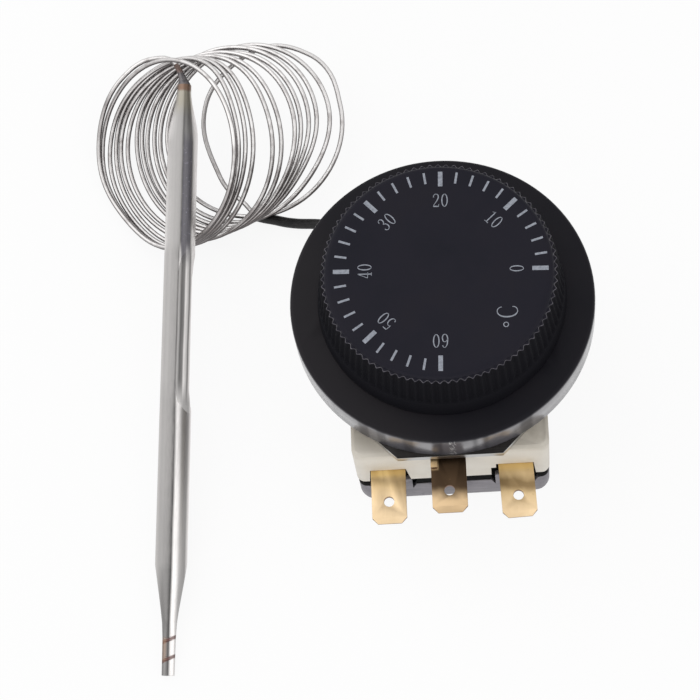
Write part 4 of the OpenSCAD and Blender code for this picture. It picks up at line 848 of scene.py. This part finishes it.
def bulbFinish():
    # drawn tube with painted reflection bands along it, heat colours round the neck and brown press marks on
    # the tail
    look = bulbSteel
    f = Finish("bulb steel", Metallic=1.0)
    along, right = bulbPlace(f)
    cloud = f.noise(5, 4, (1, 6, 1))
    streak = f.noise(0.3, 3, (1, 40, 1), (0, 0, 3.2))
    radius = f.node("ShaderNodeMapRange", {},
                    {"Value": along, "From Min": 102, "From Max": 113, "To Min": 3.0, "To Max": 1.4})
    waver = 0.5 + 0.5 * (right + 0.3 * (f.noise(9, 2, (1, 2, 1)) - 0.5)) / radius
    # painted reflection: the tones of the bands
    paintedLightTone = {name: f.ramp(waver, [(at, (reflectionGrey * 1.03, reflectionGrey, reflectionGrey * 0.985)) for at, reflectionGrey in look[name]])
            for name in ("upper", "middle", "low")}
    colour = f.blend(f.step(along, *look["flatFrom"]), paintedLightTone["low"], paintedLightTone["middle"])
    colour = f.blend(f.step(along, *look["flatTo"]), colour, paintedLightTone["upper"])
    colour = f.blend(f.step(0.6 * cloud + 0.4 * streak, 0.4, 0.7) * 0.35, colour, look["dull"])
    # painted reflection: a dark blue band right of centre along the flat, with flecks in it
    slate = waver.within(0.54, 0.82, 0.02) * along.within(82, 101, 1.5) * f.step(f.noise(0.4, 2), 0.62, 0.7)
    blueReflection = waver.within(0.53, 0.82, 0.02) * along.within(79, 103, 2)
    colour = f.blend(blueReflection * 0.6, colour, look["paintedBlue"])
    colour = f.blend(slate * 0.5, colour, look["flecks"])
    colour = f.blend(f.step(along + cloud, 107, 111.5) * 0.5, colour, look["straw"])
    burnt = (along + 0.6 * cloud).within(113.0, 114.6, 0.35)
    colour = f.blend(burnt * 0.8, colour, look["burnt"])
    slant = along - 0.45 * right
    marks = slant.within(2.7, 3.4, 0.15) + slant.within(6.2, 6.9, 0.15)
    colour = f.blend(marks * 0.85, colour, look["marks"])
    tint = along.within(2.6, 6.9, 0.4) * (1 - f.step(right, -0.8, -0.2)) * 0.5
    colour = f.blend(tint, colour, look["tint"])
    return f.feed(Base_Color=colour, Roughness=look["rough"] + 0.12 * cloud + 0.06 * streak,
                  Normal=f.bump(streak, 0.004, 0.5))


brazeGrey = {
    "body": [(0.3, (0.09, 0.088, 0.095)), (0.7, (0.21, 0.195, 0.195))], "browned": (0.16, 0.10, 0.08),
    "rough": 0.35,
}


def weldFinish():
    # dull cloudy braze, browned where the wire goes in
    look = brazeGrey
    f = Finish("braze", Metallic=1.0)
    along, _ = bulbPlace(f)
    cloud = f.noise(0.8, 4)
    body = f.ramp(cloud, look["body"])
    colour = f.blend(f.step(along + cloud, 116.4, 117.6) * 0.7, body, look["browned"])
    return f.feed(Base_Color=colour, Roughness=look["rough"] + 0.3 * cloud, Normal=f.bump(cloud, 0.06, 0.7))


sleeveBlack = {"body": [(0.3, (0.008, 0.008, 0.009)), (0.7, (0.022, 0.021, 0.021))], "rough": 0.34}


def sleeveFinish():
    # soft black tube, its sheen uneven
    look = sleeveBlack
    f = Finish("black sleeve", Specular_IOR_Level=0.25)
    cloud = f.noise(1.2, 4)
    colour = f.ramp(cloud, look["body"])
    return f.feed(Base_Color=colour, Roughness=look["rough"] + 0.2 * cloud,
                  Normal=f.bump(f.noise(0.25, 3), 0.015, 0.5))


# rolled sheets: darkest and lightest tone, roughness, turn of the streaks in degrees, and the share and
# colour of the blotches
sheets = {
    "plated_steel": ((0.40, 0.40, 0.42), (0.66, 0.66, 0.67), 0.26, (0, 0, 90), 0.35, (0.24, 0.23, 0.22)),
    "contact_silver": ((0.62, 0.61, 0.59), (0.82, 0.81, 0.79), 0.3, (0, 0, 0), 0.3, (0.36, 0.33, 0.28)),
    "cover_steel": ((0.16, 0.155, 0.17), (0.29, 0.275, 0.295), 0.4, (0, 0, 0), 0.45, (0.09, 0.085, 0.10)),
    "spring_bronze": ((0.46, 0.27, 0.12), (0.66, 0.43, 0.22), 0.28, (0, 0, 90), 0.4, (0.22, 0.11, 0.05)),
}
finishes = {
    "knob_black": knobFinish(), "bezel_black": bezelFinish(), "ceramic_cream": ceramicFinish(),
    "insulator_black": boardFinish(), "brass": brassFinish(), "capillary_steel": wireFinish(),
    "bulb_steel": bulbFinish(), "sleeve_black": sleeveFinish(),
}
for slot, values in sheets.items():
    finishes[slot] = steelFinish(slot.replace("_", " "), *values)
plate = plateFinish()


def dress(piece, material):
    piece.data.materials.clear()
    piece.data.materials.append(material)


dress(capillary, finishes["capillary_steel"])
dress(sleevePiece, finishes["sleeve_black"])
dress(filletPiece, weldFinish())
dress(knobPiece, finishes["knob_black"])
dress(dialPrint, printFinish())
slots = {part["node"]: part["material_slot"] for part in frame["record"]["subparts"]}
print("materials mixed")


# CAD nodes: finish, small edge rounding and smooth shading

# angles in degrees, the merge distance in metres, and the width in mm of each node's rounding
rounding = {
    "smoothBelow": 32, "flatBelow": 0.5, "sharpAbove": 40, "segments": 2, "merge": 1e-6,
    "widths": {"back_cover": 0.12, "insulator": 0.1, "ceramic_housing": 0.22, "bracket": 0.12, "bezel": 0.08,
               "terminal_left": 0.1, "terminal_centre": 0.1, "terminal_right": 0.1},
}


def smoothGroup():
    # geometry nodes that shade smooth wherever two faces meet below an angle
    group = bpy.data.node_groups.new("smooth shading", "GeometryNodeTree")
    group.interface.new_socket("Geometry", in_out="INPUT", socket_type="NodeSocketGeometry")
    group.interface.new_socket("Geometry", in_out="OUTPUT", socket_type="NodeSocketGeometry")
    add = group.nodes.new
    link = group.links.new
    start, end = add("NodeGroupInput"), add("NodeGroupOutput")
    angle = add("GeometryNodeInputMeshEdgeAngle")
    soft = add("FunctionNodeCompare")
    soft.operation = "LESS_THAN"
    soft.inputs["B"].default_value = math.radians(rounding["smoothBelow"])
    link(angle.outputs[0], soft.inputs["A"])
    onFaces, onEdges = add("GeometryNodeSetShadeSmooth"), add("GeometryNodeSetShadeSmooth")
    onEdges.domain = "EDGE"
    link(start.outputs[0], onFaces.inputs[0])
    link(onFaces.outputs[0], onEdges.inputs[0])
    link(soft.outputs[0], onEdges.inputs["Shade Smooth"])
    link(onEdges.outputs[0], end.inputs[0])
    return group


shading = smoothGroup()


def soften(piece, width):
    # merges the loose triangles, dissolves flat faces, rounds the sharp edges and shades the rest smooth
    merge = piece.modifiers.new("merge", "WELD")
    merge.merge_threshold = rounding["merge"]
    if width:
        flats = piece.modifiers.new("flats", "DECIMATE")
        flats.decimate_type = "DISSOLVE"
        flats.angle_limit = math.radians(rounding["flatBelow"])
        bevel = piece.modifiers.new("edges", "BEVEL")
        bevel.width = width * mm
        bevel.segments = rounding["segments"]
        bevel.limit_method = "ANGLE"
        bevel.angle_limit = math.radians(rounding["sharpAbove"])
        bevel.use_clamp_overlap = True
    smooth = piece.modifiers.new("shading", "NODES")
    smooth.node_group = shading


replaced = {"knob", "sleeve", "capillary_coil", "capillary_tail", "weld_cone"}
for name, piece in frame["nodes"].items():
    if name in replaced:
        continue
    dress(piece, plate if name == "bracket" else finishes[slots[name]])
    soften(piece, rounding["widths"].get(name, 0))
print("nodes dressed:", len(frame["nodes"]) - len(replaced))


# floor and light

# the floor's side and its drop below the object in metres, its colour, the part of it that glows when seen,
# and the sky's strength as a light
stage = {"floor": 6.0, "drop": 5e-5, "pale": (0.93, 0.93, 0.93), "ownGlow": 0.9, "skyForLight": 0.55}
# each lamp's place and size in metres, and its power in watts
lamps = {
    "left": {"place": (-0.6, 0.35, 0.8), "size": 1.5, "power": 5.0},
    "right": {"place": (0.75, -0.2, 0.65), "size": 1.2, "power": 2.0},
    "front": {"place": (-0.2, -1.0, 0.3), "size": 1.0, "power": 3.0},
}


def makeFloor():
    # a flat square that takes the object's shadow and, seen directly or mirrored, mostly glows white
    h, z = stage["floor"] / 2, -stage["drop"]
    mesh = bpy.data.meshes.new("floor")
    mesh.from_pydata([(-h, -h, z), (h, -h, z), (h, h, z), (-h, h, z)], [], [(0, 1, 2, 3)])
    floor = bpy.data.objects.new("floor", mesh)
    bpy.context.collection.objects.link(floor)
    f = Finish("pale floor", Roughness=0.9, Base_Color=(*stage["pale"], 1), Specular_IOR_Level=0.0)
    ray = f.tree.nodes.new("ShaderNodeLightPath")
    seen = Field(f, ray.outputs["Is Camera Ray"]).math("MAXIMUM", Field(f, ray.outputs["Is Glossy Ray"]))
    seen = seen.math("MAXIMUM", Field(f, ray.outputs["Is Transmission Ray"]))
    glow = f.node("ShaderNodeEmission", {}, {"Color": (1, 1, 1, 1), "Strength": 1.0})
    mixed = f.node("ShaderNodeMixShader", {},
                   {0: seen * stage["ownGlow"], 1: Field(f, f.shader.outputs[0]), 2: glow})
    f.tree.links.new(mixed.socket, f.tree.nodes["Material Output"].inputs["Surface"])
    floor.data.materials.append(f.material)


def lightScene():
    # a sky that is white to look at and weaker as a light, and three round lamps turned to the object
    world = bpy.data.worlds.new("sky")
    world.use_nodes = True
    bpy.context.scene.world = world
    tree = world.node_tree
    sky = tree.nodes["Background"]
    sky.inputs["Color"].default_value = (1, 1, 1, 1)
    ray = tree.nodes.new("ShaderNodeLightPath")
    level = ray.outputs["Is Camera Ray"]
    for kind in ("Is Glossy Ray", "Is Transmission Ray"):
        most = tree.nodes.new("ShaderNodeMath")
        most.operation = "MAXIMUM"
        tree.links.new(level, most.inputs[0])
        tree.links.new(ray.outputs[kind], most.inputs[1])
        level = most.outputs[0]
    span = tree.nodes.new("ShaderNodeMapRange")
    span.inputs["To Min"].default_value = stage["skyForLight"]
    span.inputs["To Max"].default_value = 1.0
    tree.links.new(level, span.inputs["Value"])
    tree.links.new(span.outputs[0], sky.inputs["Strength"])
    for name, lamp in lamps.items():
        data = bpy.data.lights.new(name, "AREA")
        data.shape = "DISK"
        data.size = lamp["size"]
        data.energy = lamp["power"]
        light = bpy.data.objects.new(name, data)
        light.location = lamp["place"]
        light.rotation_euler = (-Vector(lamp["place"])).to_track_quat("-Z", "Y").to_euler()
        bpy.context.collection.objects.link(light)


makeFloor()
lightScene()
bpy.context.scene.view_settings.view_transform = "Standard"
print("floor and lamps placed")
